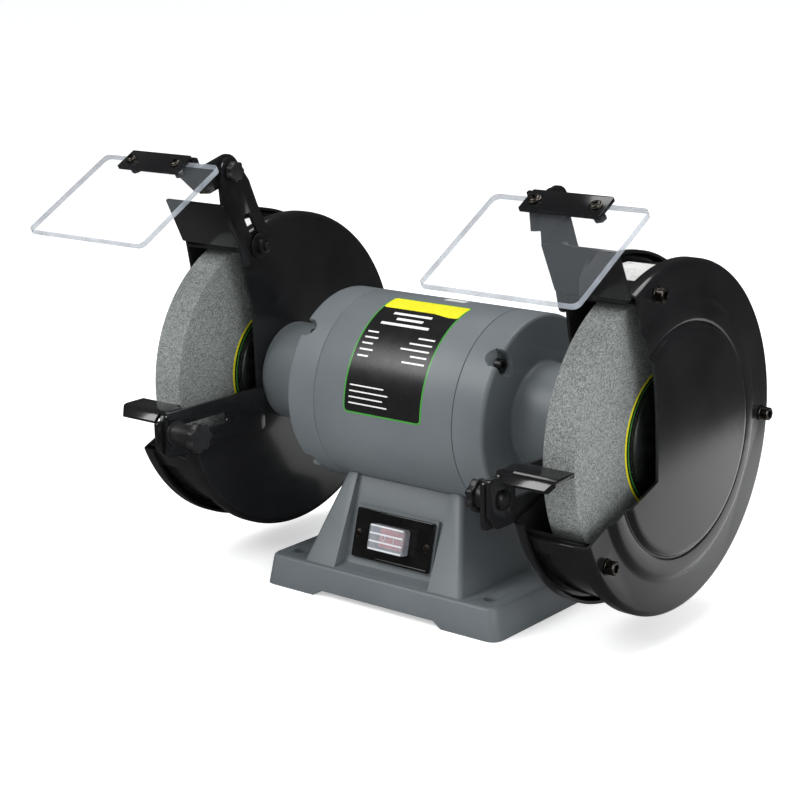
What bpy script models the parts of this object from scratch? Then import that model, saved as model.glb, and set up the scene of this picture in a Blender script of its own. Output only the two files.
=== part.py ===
"""Bench grinder for two 200 mm wheels, as an assembly of separate named solids.

Metres, +Z up. X is the spindle's axis (the left wheel is at -X), the user stands at -Y, and the origin
is on the bench, at the middle of the four bolt holes. Positions along the spindle are given as |x|.
"""
from math import atan2, cos, pi, radians, sin

import bmesh
import bpy
from mathutils import Matrix, Vector

SIDES = {"left": -1, "right": 1}
GAP = 0.0003
LARGE_STEPS = 40
MIDDLE_STEPS = 24
SMALL_STEPS = 12
SCREW_STEPS = 10

# Wheels and spindle
WHEEL_RADIUS = 0.1000
WHEEL_WIDTH = 0.0240
WHEEL_INNER_X = 0.1516
SPINDLE_Z = 0.1327
SPINDLE_RADIUS = 0.0100
ARBOR_RADIUS = 0.0080
ARBOR_SHOULDER_X = 0.1405
FLANGE_RADIUS = 0.0400
FLANGE_THICKNESS = 0.0055
FLANGE_RECESS_RADIUS = 0.0300
NUT_THICKNESS = 0.0070
NUT_RADIUS = 0.0135
WHEEL_OUTER_X = WHEEL_INNER_X + WHEEL_WIDTH
NUT_X = WHEEL_OUTER_X + FLANGE_THICKNESS + 2 * GAP
SPINDLE_END_X = NUT_X + NUT_THICKNESS + 0.0015

# Motor
MOTOR_RADIUS = 0.0665
MOTOR_HALF = 0.0828
HOUSING_HALF = 0.0580
HOUSING_WALL = 0.0050
NECK_RADIUS = 0.0349
NECK_WALL = 0.0064
BEARING_RADIUS = 0.0235
BEARING_WIDTH = 0.0140
BEARING_SEAT_X = 0.0798
STATOR_HALF = 0.0320
ROTOR_RADIUS = 0.0336
AIR_GAP = 0.0004
WINDING_LENGTH = 0.0195
TIE_BOLT_CIRCLE = 0.0575
TIE_BOLT_RADIUS = 0.0025
TIE_POCKET_FLOOR = 0.0758
TIE_POCKET_SHIFT = 0.0020
TIE_POCKET_RADIUS = 0.0076
TIE_HEAD_RADIUS = 0.0042
BOLT_HEAD = 0.0048

# Wheel guards
GUARD_X = 0.1340
SHEET = 0.0020
GUARD_RADIUS = 0.1138
COVER_RADIUS = 0.1131
RIM_WIDTH = 0.0070
COVER_FACE_X = 0.1873
COVER_DOME = 0.0089
COVER_LIP_X = 0.1770
BAND_CLEARANCE = 0.0038
BAND_RADIUS = COVER_RADIUS - SHEET - BAND_CLEARANCE
BAND_THICKNESS = 0.0015
GUARD_HOLE_RADIUS = 0.0170
COVER_SCREW_CIRCLE = 0.1025
COVER_SCREW_ANGLES = (72, 183, 324)
COVER_SCREW_RADIUS = 0.0025
COVER_SCREW_REACH = 0.0075
COVER_SCREW_HEAD = (0.0044, 0.0062)
COVER_WASHER = (0.0052, 0.0010)
COVER_TAB_WIDTH = 0.0160
LOWER_LIP = {"start": -24.5, "way": -1, "height": 0.0115, "stand": 0.0030}
UPPER_LIP = {"start": 64.1, "way": 1, "height": 0.0045, "stand": 0.0022}
LIP_INSET = 0.0040
MOUTH = ((-0.0390, 0.1160), (-0.0410, 0.1760), (-0.0430, 0.1900), (-0.0470, 0.2020),
         (-0.0528, 0.2335), (-0.0700, 0.3000), (-0.2000, 0.3000), (-0.2000, 0.0481))
PLATE_MOUTH = (*MOUTH[:-1], (-0.2000, 0.0700))

# Base casting
BASE_HALF_WIDTH = 0.0995
BASE_HALF_DEPTH = 0.0764
BASE_TOP_HALF_WIDTH = 0.0957
BASE_TOP_HALF_DEPTH = 0.0740
FLANGE_HEIGHT = 0.0215
BASE_CORNER = 0.0080
NOTCH_HEIGHT = 0.0043
NOTCH_HALF = 0.0485
NOTCH_SLOPE = 0.0070
PEDESTAL_FOOT = (0.0676, 0.0713, 0.0205)
PEDESTAL_TOP = (0.0484, 0.0420, 0.0850)
CAVITY_FOOT = (0.0600, 0.0595)
CAVITY_TOP = (0.0470, 0.0430)
CAVITY_HEIGHT = 0.0580
CAVITY_SHIFT = 0.0040
BASE_COVER_LEDGE = 0.0045
BASE_COVER_THICKNESS = 0.0015
BOLT_HOLE = (0.0820, 0.0575)
BOLT_HOLE_RADIUS = 0.0048
PANEL_HALF = 0.0400
PANEL = ((-0.0340, 0.1000), (-0.0585, 0.0290), (-0.0612, 0.0240), (-0.0655, 0.0222),
         (-0.0715, 0.0216), (-0.1000, 0.0216), (-0.1000, 0.1000))
GLAND_X = 0.0300
GLAND_HEIGHT = 0.0360
GLAND_RADIUS = 0.0070

# Switch
SWITCH_CENTRE = Vector((0, -0.0568, 0.0453))
SWITCH_TILT = radians(-15.3)
SWITCH_PLATE = (0.0660, 0.0337, 0.0020)
SWITCH_BOSS_RIM = 0.0015
SWITCH_BOSS_DEPTH = 0.0160
ROCKER = (0.0190, 0.0125, 0.0100)
ROCKER_TILT = radians(9)
ROCKER_CLEARANCE = 0.0008
SWITCH_BODY = (0.0270, 0.0205, 0.0200)
DUST_COVER = (0.0300, 0.0178, 0.0075)
DUST_COVER_WALL = 0.0009
CAPACITOR_RADIUS = 0.0170
CAPACITOR_HALF = 0.0300

# Tool rests
ARM_THICKNESS = 0.0030
ARM_Y = (-0.1340, -0.0370)
ARM_Z = (0.0975, 0.1285)
ARM_SLOT_Y = (-0.1302, -0.0746)
REST_BOLT_Z = 0.1145
REST_BOLT_RADIUS = 0.0029
REST_BOLT_Y = {"left": -0.1260, "right": -0.1200}
REST_HALF = 0.0130
REST_CORNER = 0.0030
REST_CHAMFER = (0.0075, 0.0085)
TABLE_Z = {"left": 0.1285, "right": 0.1345}
TABLE_OUTER_X = 0.1770
TABLE_REAR = 0.0170
TABLE_FRONT = 0.0027
TABLE_LIP = (0.0060, 0.0060)
TABLE_LIP_X = (0.1420, 0.1720)
KNOB_RADIUS = 0.0108
KNOB_LENGTH = {"left": 0.0244, "right": 0.0144}
KNOB_HEAD = 0.0055
KNOB_HUB_RADIUS = 0.0075
KNOB_WASHER = (0.0088, 0.0015)
KNOB_LOBES = 7

# Spark arrestors and eye shields
BRACKET_THICKNESS = 0.0030
ARRESTOR_TOP = Vector((-0.0710, 0.2615))
ARRESTOR_FOOT = Vector((-0.0560, 0.2305))
ARRESTOR_OUTER_X = 0.1850
CLAMP = Vector((-0.0369, 0.2292))
CLAMP_RADIUS = 0.0029
CLAMP_HEAD_RADIUS = 0.0048
CLAMP_HEAD = 0.0022
BRACKET_SLOT = 0.0230
PIVOT = Vector((-0.0620, 0.2840))
PIVOT_RADIUS = 0.0029
PIVOT_KNOB_RADIUS = 0.0072
PIVOT_KNOB_LENGTH = 0.0060
PIVOT_NUT = (0.0055, 0.0036)
SHIELD_EYE_RADIUS = 0.0112
SHIELD_THICKNESS = 0.0025
LENS_FRONT = Vector((-0.1670, 0.2510))
LENS_BACK = Vector((-0.0926, 0.2927))
LENS_X = (0.1120, 0.2200)
LENS_THICKNESS = 0.0040
STRIP_X = (0.1390, 0.1947)
STRIP_WIDTH = 0.0176
STRIP_OVERHANG = 0.0030
STRIP_SCREW_PITCH = 0.0420
STRIP_SCREW_RADIUS = 0.0022
WEB_FOOT = Vector((-0.0810, 0.2712))
WEB_X = (0.1710, 0.1460)

PAINTS = {
    "casting_paint": ((0.16, 0.18, 0.20), 0.45, 0.0), "guard_paint": ((0.01, 0.01, 0.012), 0.2, 0.0),
    "abrasive": ((0.30, 0.32, 0.31), 0.95, 0.0), "steel": ((0.55, 0.55, 0.56), 0.35, 1.0),
    "black_screw": ((0.03, 0.03, 0.03), 0.35, 0.8), "black_plastic": ((0.015, 0.015, 0.015), 0.4, 0.0),
    "copper": ((0.70, 0.25, 0.10), 0.35, 1.0), "clear_plastic": ((0.90, 0.93, 0.95), 0.05, 0.0),
    "red_plastic": ((0.60, 0.05, 0.05), 0.3, 0.0), "lamination": ((0.30, 0.30, 0.31), 0.5, 1.0),
}


def clear_scene():
    for item in list(bpy.data.objects):
        bpy.data.objects.remove(item, do_unlink=True)


def new_collection(name):
    collection = bpy.data.collections.new(name)
    bpy.context.scene.collection.children.link(collection)
    return collection


def paint(name):
    colour, roughness, metallic = PAINTS[name]
    material = bpy.data.materials.get(name) or bpy.data.materials.new(name)
    material.use_nodes = True
    shader = material.node_tree.nodes["Principled BSDF"]
    shader.inputs["Base Color"].default_value = (*colour, 1)
    shader.inputs["Roughness"].default_value = roughness
    shader.inputs["Metallic"].default_value = metallic
    return material


clear_scene()
GRINDER = new_collection("bench_grinder")
CUTTERS = new_collection("cutters")


def place(mesh, name, finish):
    """Links a mesh as one sub-part, or as a helper shape when it has no finish."""
    item = bpy.data.objects.new(name, mesh)
    (GRINDER if finish else CUTTERS).objects.link(item)
    if finish:
        mesh.materials.append(paint(finish))
    else:
        item.hide_render = True
        item.display_type = "WIRE"
    mesh.shade_smooth()
    mesh.set_sharp_from_angle(angle=radians(35))
    return item


def combine(item, other, operation="DIFFERENCE"):
    modifier = item.modifiers.new(operation.lower(), "BOOLEAN")
    modifier.operation = operation
    modifier.object = other
    return item


def turned(name, finish, profile, side=1, centre=(0, 0), closed=False, steps=SMALL_STEPS):
    """A profile of (radius, |x|) points, highest |x| first, turned about an axis along X through (y, z)."""
    mesh = bpy.data.meshes.new(name)
    edges = [(i, i + 1) for i in range(len(profile) - 1)]
    if closed:
        edges.append((len(profile) - 1, 0))
    mesh.from_pydata([(radius, 0, along) for radius, along in profile], edges, [])
    item = place(mesh, name, finish)
    screw = item.modifiers.new("turn", "SCREW")
    screw.steps = screw.render_steps = steps
    screw.use_merge_vertices = True
    screw.merge_threshold = 0.00002
    screw.use_normal_calculate = False
    item.matrix_world = Matrix.Translation((0, *centre)) @ Matrix.Rotation(side * pi / 2, 4, "Y")
    return item


def rod(name, finish, radius, low, high, side=1, centre=(0, 0), steps=SMALL_STEPS):
    profile = [(0, high), (radius, high), (radius, low), (0, low)]
    return turned(name, finish, profile, side, centre, steps=steps)


def ring(name, finish, inner, outer, low, high, side=1, centre=(0, SPINDLE_Z), steps=LARGE_STEPS):
    profile = [(outer, high), (outer, low), (inner, low), (inner, high)]
    return turned(name, finish, profile, side, centre, closed=True, steps=steps)


def flat(name, finish, loops, thickness, frame):
    """Closed outlines, the first outside and the rest holes, given a thickness about frame's XY."""
    curve = bpy.data.curves.new(name, "CURVE")
    curve.dimensions = "2D"
    curve.fill_mode = "BOTH"
    curve.extrude = thickness / 2
    for loop in loops:
        spline = curve.splines.new("POLY")
        spline.points.add(len(loop) - 1)
        for point, (u, v) in zip(spline.points, loop):
            point.co = (u, v, 0, 1)
        spline.use_cyclic_u = True
    outline = bpy.data.objects.new(name + "_outline", curve)
    GRINDER.objects.link(outline)
    graph = bpy.context.evaluated_depsgraph_get()
    mesh = bpy.data.meshes.new_from_object(outline.evaluated_get(graph))
    bpy.data.objects.remove(outline)
    shape = bmesh.new()
    shape.from_mesh(mesh)
    bmesh.ops.remove_doubles(shape, verts=shape.verts, dist=0.00001)
    bmesh.ops.recalc_face_normals(shape, faces=shape.faces)
    shape.to_mesh(mesh)
    shape.free()
    mesh.name = name
    item = place(mesh, name, finish)
    item.matrix_world = frame
    return item


def upright(x):
    """The frame of a plate in a plane of constant x, whose outline is (y, z)."""
    return Matrix(((0, 0, 1, x), (1, 0, 0, 0), (0, 1, 0, 0), (0, 0, 0, 1)))


def sloping(foot, top, x=0):
    """The frame of a plate through X and the line from foot to top, both (y, z); v is 0 at the foot."""
    along = (top - foot).normalized()
    return Matrix(((1, 0, 0, x), (0, along.x, -along.y, foot.x), (0, along.y, along.x, foot.y), (0, 0, 0, 1)))


def sheet(name, finish, side, low, high, loops):
    """A plate between two distances from the middle of the grinder."""
    return flat(name, finish, loops, high - low, upright(side * (low + high) / 2))


def arc(centre, radius, start, end, steps):
    turns = [radians(start + (end - start) * i / steps) for i in range(steps + 1)]
    return [(centre[0] + radius * cos(turn), centre[1] + radius * sin(turn)) for turn in turns]


def circle(centre, radius, steps=SMALL_STEPS):
    return arc(centre, radius, 0, 360 - 360 / steps, steps - 1)


def rounded(low, high, radius, steps=3):
    """A rectangle with round corners."""
    (x0, y0), (x1, y1) = low, high
    corners = ((x1, y1, 0), (x0, y1, 90), (x0, y0, 180), (x1, y0, 270))
    inset = {x0: x0 + radius, x1: x1 - radius, y0: y0 + radius, y1: y1 - radius}
    return [point for x, y, start in corners
            for point in arc((inset[x], inset[y]), radius, start, start + 90, steps)]


def slot(start, end, radius, steps=6):
    """A slot's outline round its two end centres."""
    turn = atan2(end[1] - start[1], end[0] - start[0]) * 180 / pi
    return arc(end, radius, turn - 90, turn + 90, steps) + arc(start, radius, turn + 90, turn + 270, steps)


def box(name, finish, low, high):
    mesh = bpy.data.meshes.new(name)
    shape = bmesh.new()
    bmesh.ops.create_cube(shape, size=1)
    size = [b - a for a, b in zip(low, high)]
    bmesh.ops.scale(shape, verts=shape.verts, vec=size)
    bmesh.ops.translate(shape, verts=shape.verts, vec=[(a + b) / 2 for a, b in zip(low, high)])
    shape.to_mesh(mesh)
    shape.free()
    return place(mesh, name, finish)


def tapered(name, finish, foot, top, low, high, centre_y=0.0):
    """A box whose half width and half depth change from foot to top."""
    item = box(name, finish, (-1, -1, low), (1, 1, high))
    middle = (low + high) / 2
    for vertex in item.data.vertices:
        half = top if vertex.co.z > middle else foot
        vertex.co.x *= half[0]
        vertex.co.y = vertex.co.y * half[1] + centre_y
    return item


def on_circle(radius, angle, centre=(0, SPINDLE_Z)):
    """A point (y, z) at an angle measured up from the front of the grinder."""
    return (centre[0] - radius * cos(radians(angle)), centre[1] + radius * sin(radians(angle)))


# Base

def base_casting():
    foot = rounded((-BASE_HALF_WIDTH, -BASE_HALF_DEPTH), (BASE_HALF_WIDTH, BASE_HALF_DEPTH), BASE_CORNER)
    casting = flat("base_casting", "casting_paint", [foot], FLANGE_HEIGHT,
                   Matrix.Translation((0, 0, FLANGE_HEIGHT / 2)))
    for vertex in casting.data.vertices:
        if vertex.co.z > 0:
            vertex.co.x *= BASE_TOP_HALF_WIDTH / BASE_HALF_WIDTH
            vertex.co.y *= BASE_TOP_HALF_DEPTH / BASE_HALF_DEPTH
    combine(casting, tapered("pedestal", None, PEDESTAL_FOOT[:2], PEDESTAL_TOP[:2],
                             PEDESTAL_FOOT[2], PEDESTAL_TOP[2]), "UNION")
    panel = flat("front_panel", None, [PANEL], 2 * PANEL_HALF, upright(0))
    combine(casting, panel)
    boss_face = -SWITCH_PLATE[2] - GAP
    combine(casting, switch_box("switch_boss", None, SWITCH_PLATE[0] + 2 * SWITCH_BOSS_RIM,
                                SWITCH_PLATE[1] + 2 * SWITCH_BOSS_RIM, boss_face - SWITCH_BOSS_DEPTH,
                                boss_face), "UNION")
    saddle = rod("saddle", None, MOTOR_RADIUS + GAP, -0.2, 0.2, centre=(0, SPINDLE_Z), steps=LARGE_STEPS)
    combine(casting, saddle)
    combine(casting, tapered("cavity", None, CAVITY_FOOT, CAVITY_TOP, -0.0001, CAVITY_HEIGHT, CAVITY_SHIFT))
    ledge = [half + BASE_COVER_LEDGE for half in CAVITY_FOOT]
    rebate = NOTCH_HEIGHT + BASE_COVER_THICKNESS + 3 * GAP
    combine(casting, box("cover_rebate", None, (-ledge[0], CAVITY_SHIFT - ledge[1], -0.01),
                         (ledge[0], CAVITY_SHIFT + ledge[1], rebate)))
    notch = [(-NOTCH_HALF - NOTCH_SLOPE - 0.001, -0.001), (-NOTCH_HALF, NOTCH_HEIGHT),
             (NOTCH_HALF, NOTCH_HEIGHT), (NOTCH_HALF + NOTCH_SLOPE + 0.001, -0.001)]
    across = Matrix(((1, 0, 0, 0), (0, 0, -1, 0), (0, 1, 0, 0), (0, 0, 0, 1)))
    combine(casting, flat("notch", None, [notch], 0.4, across))
    combine(casting, switch_box("switch_hole", None, SWITCH_BODY[0] + 2 * GAP, SWITCH_BODY[1] + 2 * GAP,
                                -0.05, 0.01))
    for number, (x_sign, y_sign) in enumerate(((-1, -1), (1, -1), (-1, 1), (1, 1)), 1):
        hole = flat(f"bolt_hole_{number}", None, [circle((0, 0), BOLT_HOLE_RADIUS)], 0.2,
                    Matrix.Translation((x_sign * BOLT_HOLE[0], y_sign * BOLT_HOLE[1], 0)))
        combine(casting, hole)
    bore = turned("gland_bore", None, [(0, 0.05), (GLAND_RADIUS + GAP, 0.05), (GLAND_RADIUS + GAP, -0.05),
                                       (0, -0.05)])
    bore.matrix_world = gland_frame()
    combine(casting, bore)


def base_cover():
    half = [part + BASE_COVER_LEDGE - GAP for part in CAVITY_FOOT]
    low = NOTCH_HEIGHT + GAP
    box("base_cover", "steel", (-half[0], CAVITY_SHIFT - half[1], low),
        (half[0], CAVITY_SHIFT + half[1], low + BASE_COVER_THICKNESS))


def gland_frame():
    """On the back of the pedestal, with +Z out of the wall."""
    slope = atan2(PEDESTAL_FOOT[1] - PEDESTAL_TOP[1], PEDESTAL_TOP[2] - PEDESTAL_FOOT[2])
    share = (GLAND_HEIGHT - PEDESTAL_FOOT[2]) / (PEDESTAL_TOP[2] - PEDESTAL_FOOT[2])
    wall = PEDESTAL_FOOT[1] + share * (PEDESTAL_TOP[1] - PEDESTAL_FOOT[1])
    return Matrix.Translation((GLAND_X, wall, GLAND_HEIGHT)) @ Matrix.Rotation(slope - pi / 2, 4, "X")


def cord_gland():
    profile = [(0.0040, 0.0090), (0.0068, 0.0090), (0.0095, 0.0055), (0.0095, GAP), (GLAND_RADIUS, GAP),
               (GLAND_RADIUS, -0.0140), (0.0040, -0.0140)]
    turned("cord_gland", "black_plastic", profile, closed=True).matrix_world = gland_frame()


def capacitor():
    rod("capacitor", "black_plastic", CAPACITOR_RADIUS, -CAPACITOR_HALF, CAPACITOR_HALF,
        centre=(0.0200, NOTCH_HEIGHT + BASE_COVER_THICKNESS + CAPACITOR_RADIUS + 0.0020))


# Switch: the frame has X to the right, Y up the plate and Z out of it, and 0 is the plate's outer face

def switch_frame():
    return Matrix.Translation(SWITCH_CENTRE) @ Matrix.Rotation(pi / 2 + SWITCH_TILT, 4, "X")


def switch_box(name, finish, width, height, low, high):
    item = box(name, finish, (-width / 2, -height / 2, low), (width / 2, height / 2, high))
    item.matrix_world = switch_frame()
    return item


def switch():
    width, height, thickness = SWITCH_PLATE
    opening = [half + ROCKER_CLEARANCE for half in (ROCKER[0] / 2, ROCKER[1] / 2)]
    window = [(-opening[0], -opening[1]), (opening[0], -opening[1]), (opening[0], opening[1]),
              (-opening[0], opening[1])]
    outline = rounded((-width / 2, -height / 2), (width / 2, height / 2), 0.0015)
    flat("switch_plate", "black_plastic", [outline, window], thickness,
         switch_frame() @ Matrix.Translation((0, 0, -thickness / 2)))
    body = switch_box("switch_body", "black_plastic", SWITCH_BODY[0], SWITCH_BODY[1],
                      -thickness - GAP - SWITCH_BODY[2], -thickness - GAP)
    combine(body, switch_box("switch_well", None, 2 * opening[0], 2 * opening[1], -0.0110, 0.01))
    cover = switch_box("switch_dust_cover", "clear_plastic", DUST_COVER[0], DUST_COVER[1], GAP, DUST_COVER[2])
    combine(cover, switch_box("dust_cover_inside", None, DUST_COVER[0] - 2 * DUST_COVER_WALL,
                              DUST_COVER[1] - 2 * DUST_COVER_WALL, -0.01, DUST_COVER[2] - DUST_COVER_WALL))
    rocker = box("switch_rocker", "red_plastic", (-ROCKER[0] / 2, -ROCKER[1] / 2, -ROCKER[2] / 2),
                 (ROCKER[0] / 2, ROCKER[1] / 2, ROCKER[2] / 2))
    rocker.matrix_world = (switch_frame() @ Matrix.Translation((0, 0, -0.0015))
                           @ Matrix.Rotation(-ROCKER_TILT, 4, "Y"))


# Motor

def motor_housing():
    ring("motor_housing", "casting_paint", MOTOR_RADIUS - HOUSING_WALL, MOTOR_RADIUS, -HOUSING_HALF,
         HOUSING_HALF)


def end_bell(name, side):
    inner = MOTOR_RADIUS - HOUSING_WALL
    rim_x = HOUSING_HALF + GAP
    neck_bore = NECK_RADIUS - NECK_WALL
    neck_x = GUARD_X - GAP
    seat = BEARING_RADIUS + GAP
    profile = [
        (NECK_RADIUS, neck_x), (NECK_RADIUS, MOTOR_HALF + 0.0020), (NECK_RADIUS + 0.0020, MOTOR_HALF),
        (MOTOR_RADIUS - 0.0030, MOTOR_HALF), (MOTOR_RADIUS, MOTOR_HALF - 0.0030), (MOTOR_RADIUS, rim_x),
        (inner, rim_x), (inner, BEARING_SEAT_X - 0.0093), (inner - 0.0200, BEARING_SEAT_X - 0.0030),
        (BEARING_RADIUS - 0.0080, BEARING_SEAT_X - 0.0030), (BEARING_RADIUS - 0.0080, BEARING_SEAT_X),
        (seat, BEARING_SEAT_X), (seat, BEARING_SEAT_X + BEARING_WIDTH + 2 * GAP),
        (neck_bore, BEARING_SEAT_X + BEARING_WIDTH + 0.0040), (neck_bore, neck_x)]
    bell = turned(name, "casting_paint", profile, side, (0, SPINDLE_Z), closed=True, steps=LARGE_STEPS)
    for number in range(4):
        centre = on_circle(TIE_BOLT_CIRCLE + TIE_POCKET_SHIFT, 45 + 90 * number)
        pocket = rod(f"{name}_pocket_{number}", None, TIE_POCKET_RADIUS, TIE_POCKET_FLOOR, 0.09, side,
                     centre, SCREW_STEPS)
        combine(bell, pocket)
        hole = rod(f"{name}_hole_{number}", None, TIE_BOLT_RADIUS + 2 * GAP, 0.05, 0.09, side,
                   on_circle(TIE_BOLT_CIRCLE, 45 + 90 * number), SCREW_STEPS)
        combine(bell, hole)


def tie_bolt(number):
    head = TIE_POCKET_FLOOR + GAP
    profile = [(0, head + BOLT_HEAD), (TIE_HEAD_RADIUS, head + BOLT_HEAD), (TIE_HEAD_RADIUS, head),
               (TIE_BOLT_RADIUS, head), (TIE_BOLT_RADIUS, -head), (TIE_HEAD_RADIUS, -head),
               (TIE_HEAD_RADIUS, -head - 0.0035), (0, -head - 0.0035)]
    turned(f"tie_bolt_{number + 1}", "black_screw", profile, 1, on_circle(TIE_BOLT_CIRCLE, 45 + 90 * number),
           steps=SCREW_STEPS)


def stator():
    outer = MOTOR_RADIUS - HOUSING_WALL - GAP
    core = ring("stator_core", "lamination", ROTOR_RADIUS + AIR_GAP, outer, -STATOR_HALF, STATOR_HALF,
                steps=MIDDLE_STEPS)
    for number in range(4):
        groove = rod(f"stator_groove_{number}", None, 0.0036, -0.05, 0.05,
                     centre=on_circle(TIE_BOLT_CIRCLE + 0.0010, 45 + 90 * number), steps=SCREW_STEPS)
        combine(core, groove)
    for name, side in SIDES.items():
        low = STATOR_HALF + GAP
        high = low + WINDING_LENGTH
        profile = [(0.0430, high), (0.0500, high), (0.0530, high - 0.0040), (0.0530, low), (0.0375, low),
                   (0.0385, high - 0.0040)]
        turned(f"winding_{name}", "copper", profile, side, (0, SPINDLE_Z), closed=True, steps=MIDDLE_STEPS)


# Spindle and what turns with it

def spindle():
    half = [(0, SPINDLE_END_X), (ARBOR_RADIUS - 0.0010, SPINDLE_END_X), (ARBOR_RADIUS, SPINDLE_END_X - 0.0010),
            (ARBOR_RADIUS, ARBOR_SHOULDER_X), (SPINDLE_RADIUS, ARBOR_SHOULDER_X)]
    profile = half + [(radius, -along) for radius, along in reversed(half)]
    turned("spindle", "steel", profile, 1, (0, SPINDLE_Z))
    ring("rotor_core", "lamination", SPINDLE_RADIUS + GAP, ROTOR_RADIUS, -STATOR_HALF, STATOR_HALF,
         steps=MIDDLE_STEPS)


def wheel_set(name, side):
    centre = (0, SPINDLE_Z)
    bore = ARBOR_RADIUS + GAP
    inner_face = WHEEL_INNER_X - GAP
    outer_face = WHEEL_OUTER_X + GAP
    hub = 0.0165
    recess = 0.0020
    edge = 0.0010
    wheel = [(WHEEL_RADIUS - edge, WHEEL_OUTER_X), (WHEEL_RADIUS, WHEEL_OUTER_X - edge),
             (WHEEL_RADIUS, WHEEL_INNER_X + edge), (WHEEL_RADIUS - edge, WHEEL_INNER_X), (bore, WHEEL_INNER_X),
             (bore, WHEEL_OUTER_X)]
    turned(f"grinding_wheel_{name}", "abrasive", wheel, side, centre, closed=True, steps=LARGE_STEPS)
    inner = [(FLANGE_RADIUS, inner_face), (FLANGE_RADIUS, inner_face - 0.0030),
             (FLANGE_RADIUS - 0.0070, inner_face - FLANGE_THICKNESS),
             (hub, inner_face - FLANGE_THICKNESS - 0.0015),
             (hub, ARBOR_SHOULDER_X + GAP), (bore, ARBOR_SHOULDER_X + GAP), (bore, inner_face - recess),
             (FLANGE_RECESS_RADIUS, inner_face - recess), (FLANGE_RECESS_RADIUS, inner_face)]
    turned(f"inner_flange_{name}", "steel", inner, side, centre, closed=True, steps=MIDDLE_STEPS)
    top = outer_face + FLANGE_THICKNESS
    outer = [(hub, top), (FLANGE_RADIUS - 0.0070, top - 0.0012), (FLANGE_RADIUS, outer_face + 0.0025),
             (FLANGE_RADIUS, outer_face), (FLANGE_RECESS_RADIUS, outer_face),
             (FLANGE_RECESS_RADIUS, outer_face + recess), (bore, outer_face + recess), (bore, top)]
    turned(f"outer_flange_{name}", "steel", outer, side, centre, closed=True, steps=MIDDLE_STEPS)
    sheet(f"spindle_nut_{name}", "steel", side, NUT_X, NUT_X + NUT_THICKNESS,
          [circle(centre, NUT_RADIUS, 6), circle(centre, bore)])


# Wheel guards

def cut_mouth(item, outline):
    combine(item, flat(f"{item.name}_mouth", None, [outline], 0.6, upright(0)))


def guard_plate(name, side):
    low, high = GUARD_X, GUARD_X + SHEET
    rim = GUARD_X + RIM_WIDTH + SHEET
    outer, inner = GUARD_RADIUS, GUARD_RADIUS - SHEET
    profile = [(outer, rim), (outer, low + 0.0045), (outer - 0.0045, low), (GUARD_HOLE_RADIUS, low),
               (GUARD_HOLE_RADIUS, high), (inner - 0.0035, high), (inner, low + 0.0055), (inner, rim)]
    plate = turned(f"guard_plate_{name}", "guard_paint", profile, side, (0, SPINDLE_Z), closed=True,
                   steps=LARGE_STEPS)
    cut_mouth(plate, PLATE_MOUTH)
    combine(plate, rod(f"clamp_hole_{name}", None, CLAMP_RADIUS + GAP, 0.13, 0.14, side, CLAMP, SCREW_STEPS))


def guard_band(name, side):
    low, high = GUARD_X + SHEET + GAP, COVER_FACE_X - SHEET - GAP
    head_room = low + CLAMP_HEAD + 0.0005
    band = ring(f"guard_band_{name}", "guard_paint", BAND_RADIUS - BAND_THICKNESS, BAND_RADIUS, low, high,
                side)
    cut_mouth(band, MOUTH)
    combine(band, rod(f"clamp_notch_{name}", None, CLAMP_HEAD_RADIUS + 0.0010, 0.13, head_room, side, CLAMP))
    for number, angle in enumerate(COVER_SCREW_ANGLES, 1):
        tab = flat(f"cover_tab_{name}_{number}", None,
                   [rounded((COVER_SCREW_CIRCLE - 0.0055, -COVER_TAB_WIDTH / 2),
                            (BAND_RADIUS - 0.0007, COVER_TAB_WIDTH / 2), 0.003)], SHEET,
                   Matrix.Translation((side * (high - SHEET / 2), 0, SPINDLE_Z))
                   @ Matrix.Rotation(radians(180 - angle), 4, "X") @ upright(0))
        combine(band, tab, "UNION")
        combine(band, rod(f"tab_hole_{name}_{number}", None, COVER_SCREW_RADIUS + GAP, 0.17, 0.20, side,
                          on_circle(COVER_SCREW_CIRCLE, angle), SCREW_STEPS))
    for end, lip in (("lower", LOWER_LIP), ("upper", UPPER_LIP)):
        sweep = lip["way"] * lip["height"] / BAND_RADIUS * 180 / pi
        angles = [lip["start"] + sweep * part / 3 for part in range(4)]
        outline = [on_circle(BAND_RADIUS - 0.0005, angle) for angle in angles]
        outline += [on_circle(BAND_RADIUS + lip["stand"], angle) for angle in reversed(angles)]
        fold = sheet(f"band_lip_{end}_{name}", None, side, low + LIP_INSET, high - LIP_INSET, [outline])
        combine(band, fold, "UNION")


def cover_section(face, dome, radius, lip):
    """The outer surface of a pressed cover, from the middle of its dome out to its lip."""
    return [(0, face + dome), (0.0480, face + dome - 0.0013), (0.0725, face + dome - 0.0030),
            (0.0750, face + 0.0037), (0.0860, face + 0.0029), (0.0900, face), (radius - 0.0040, face),
            (radius, face - 0.0040), (radius, lip)]


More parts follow.
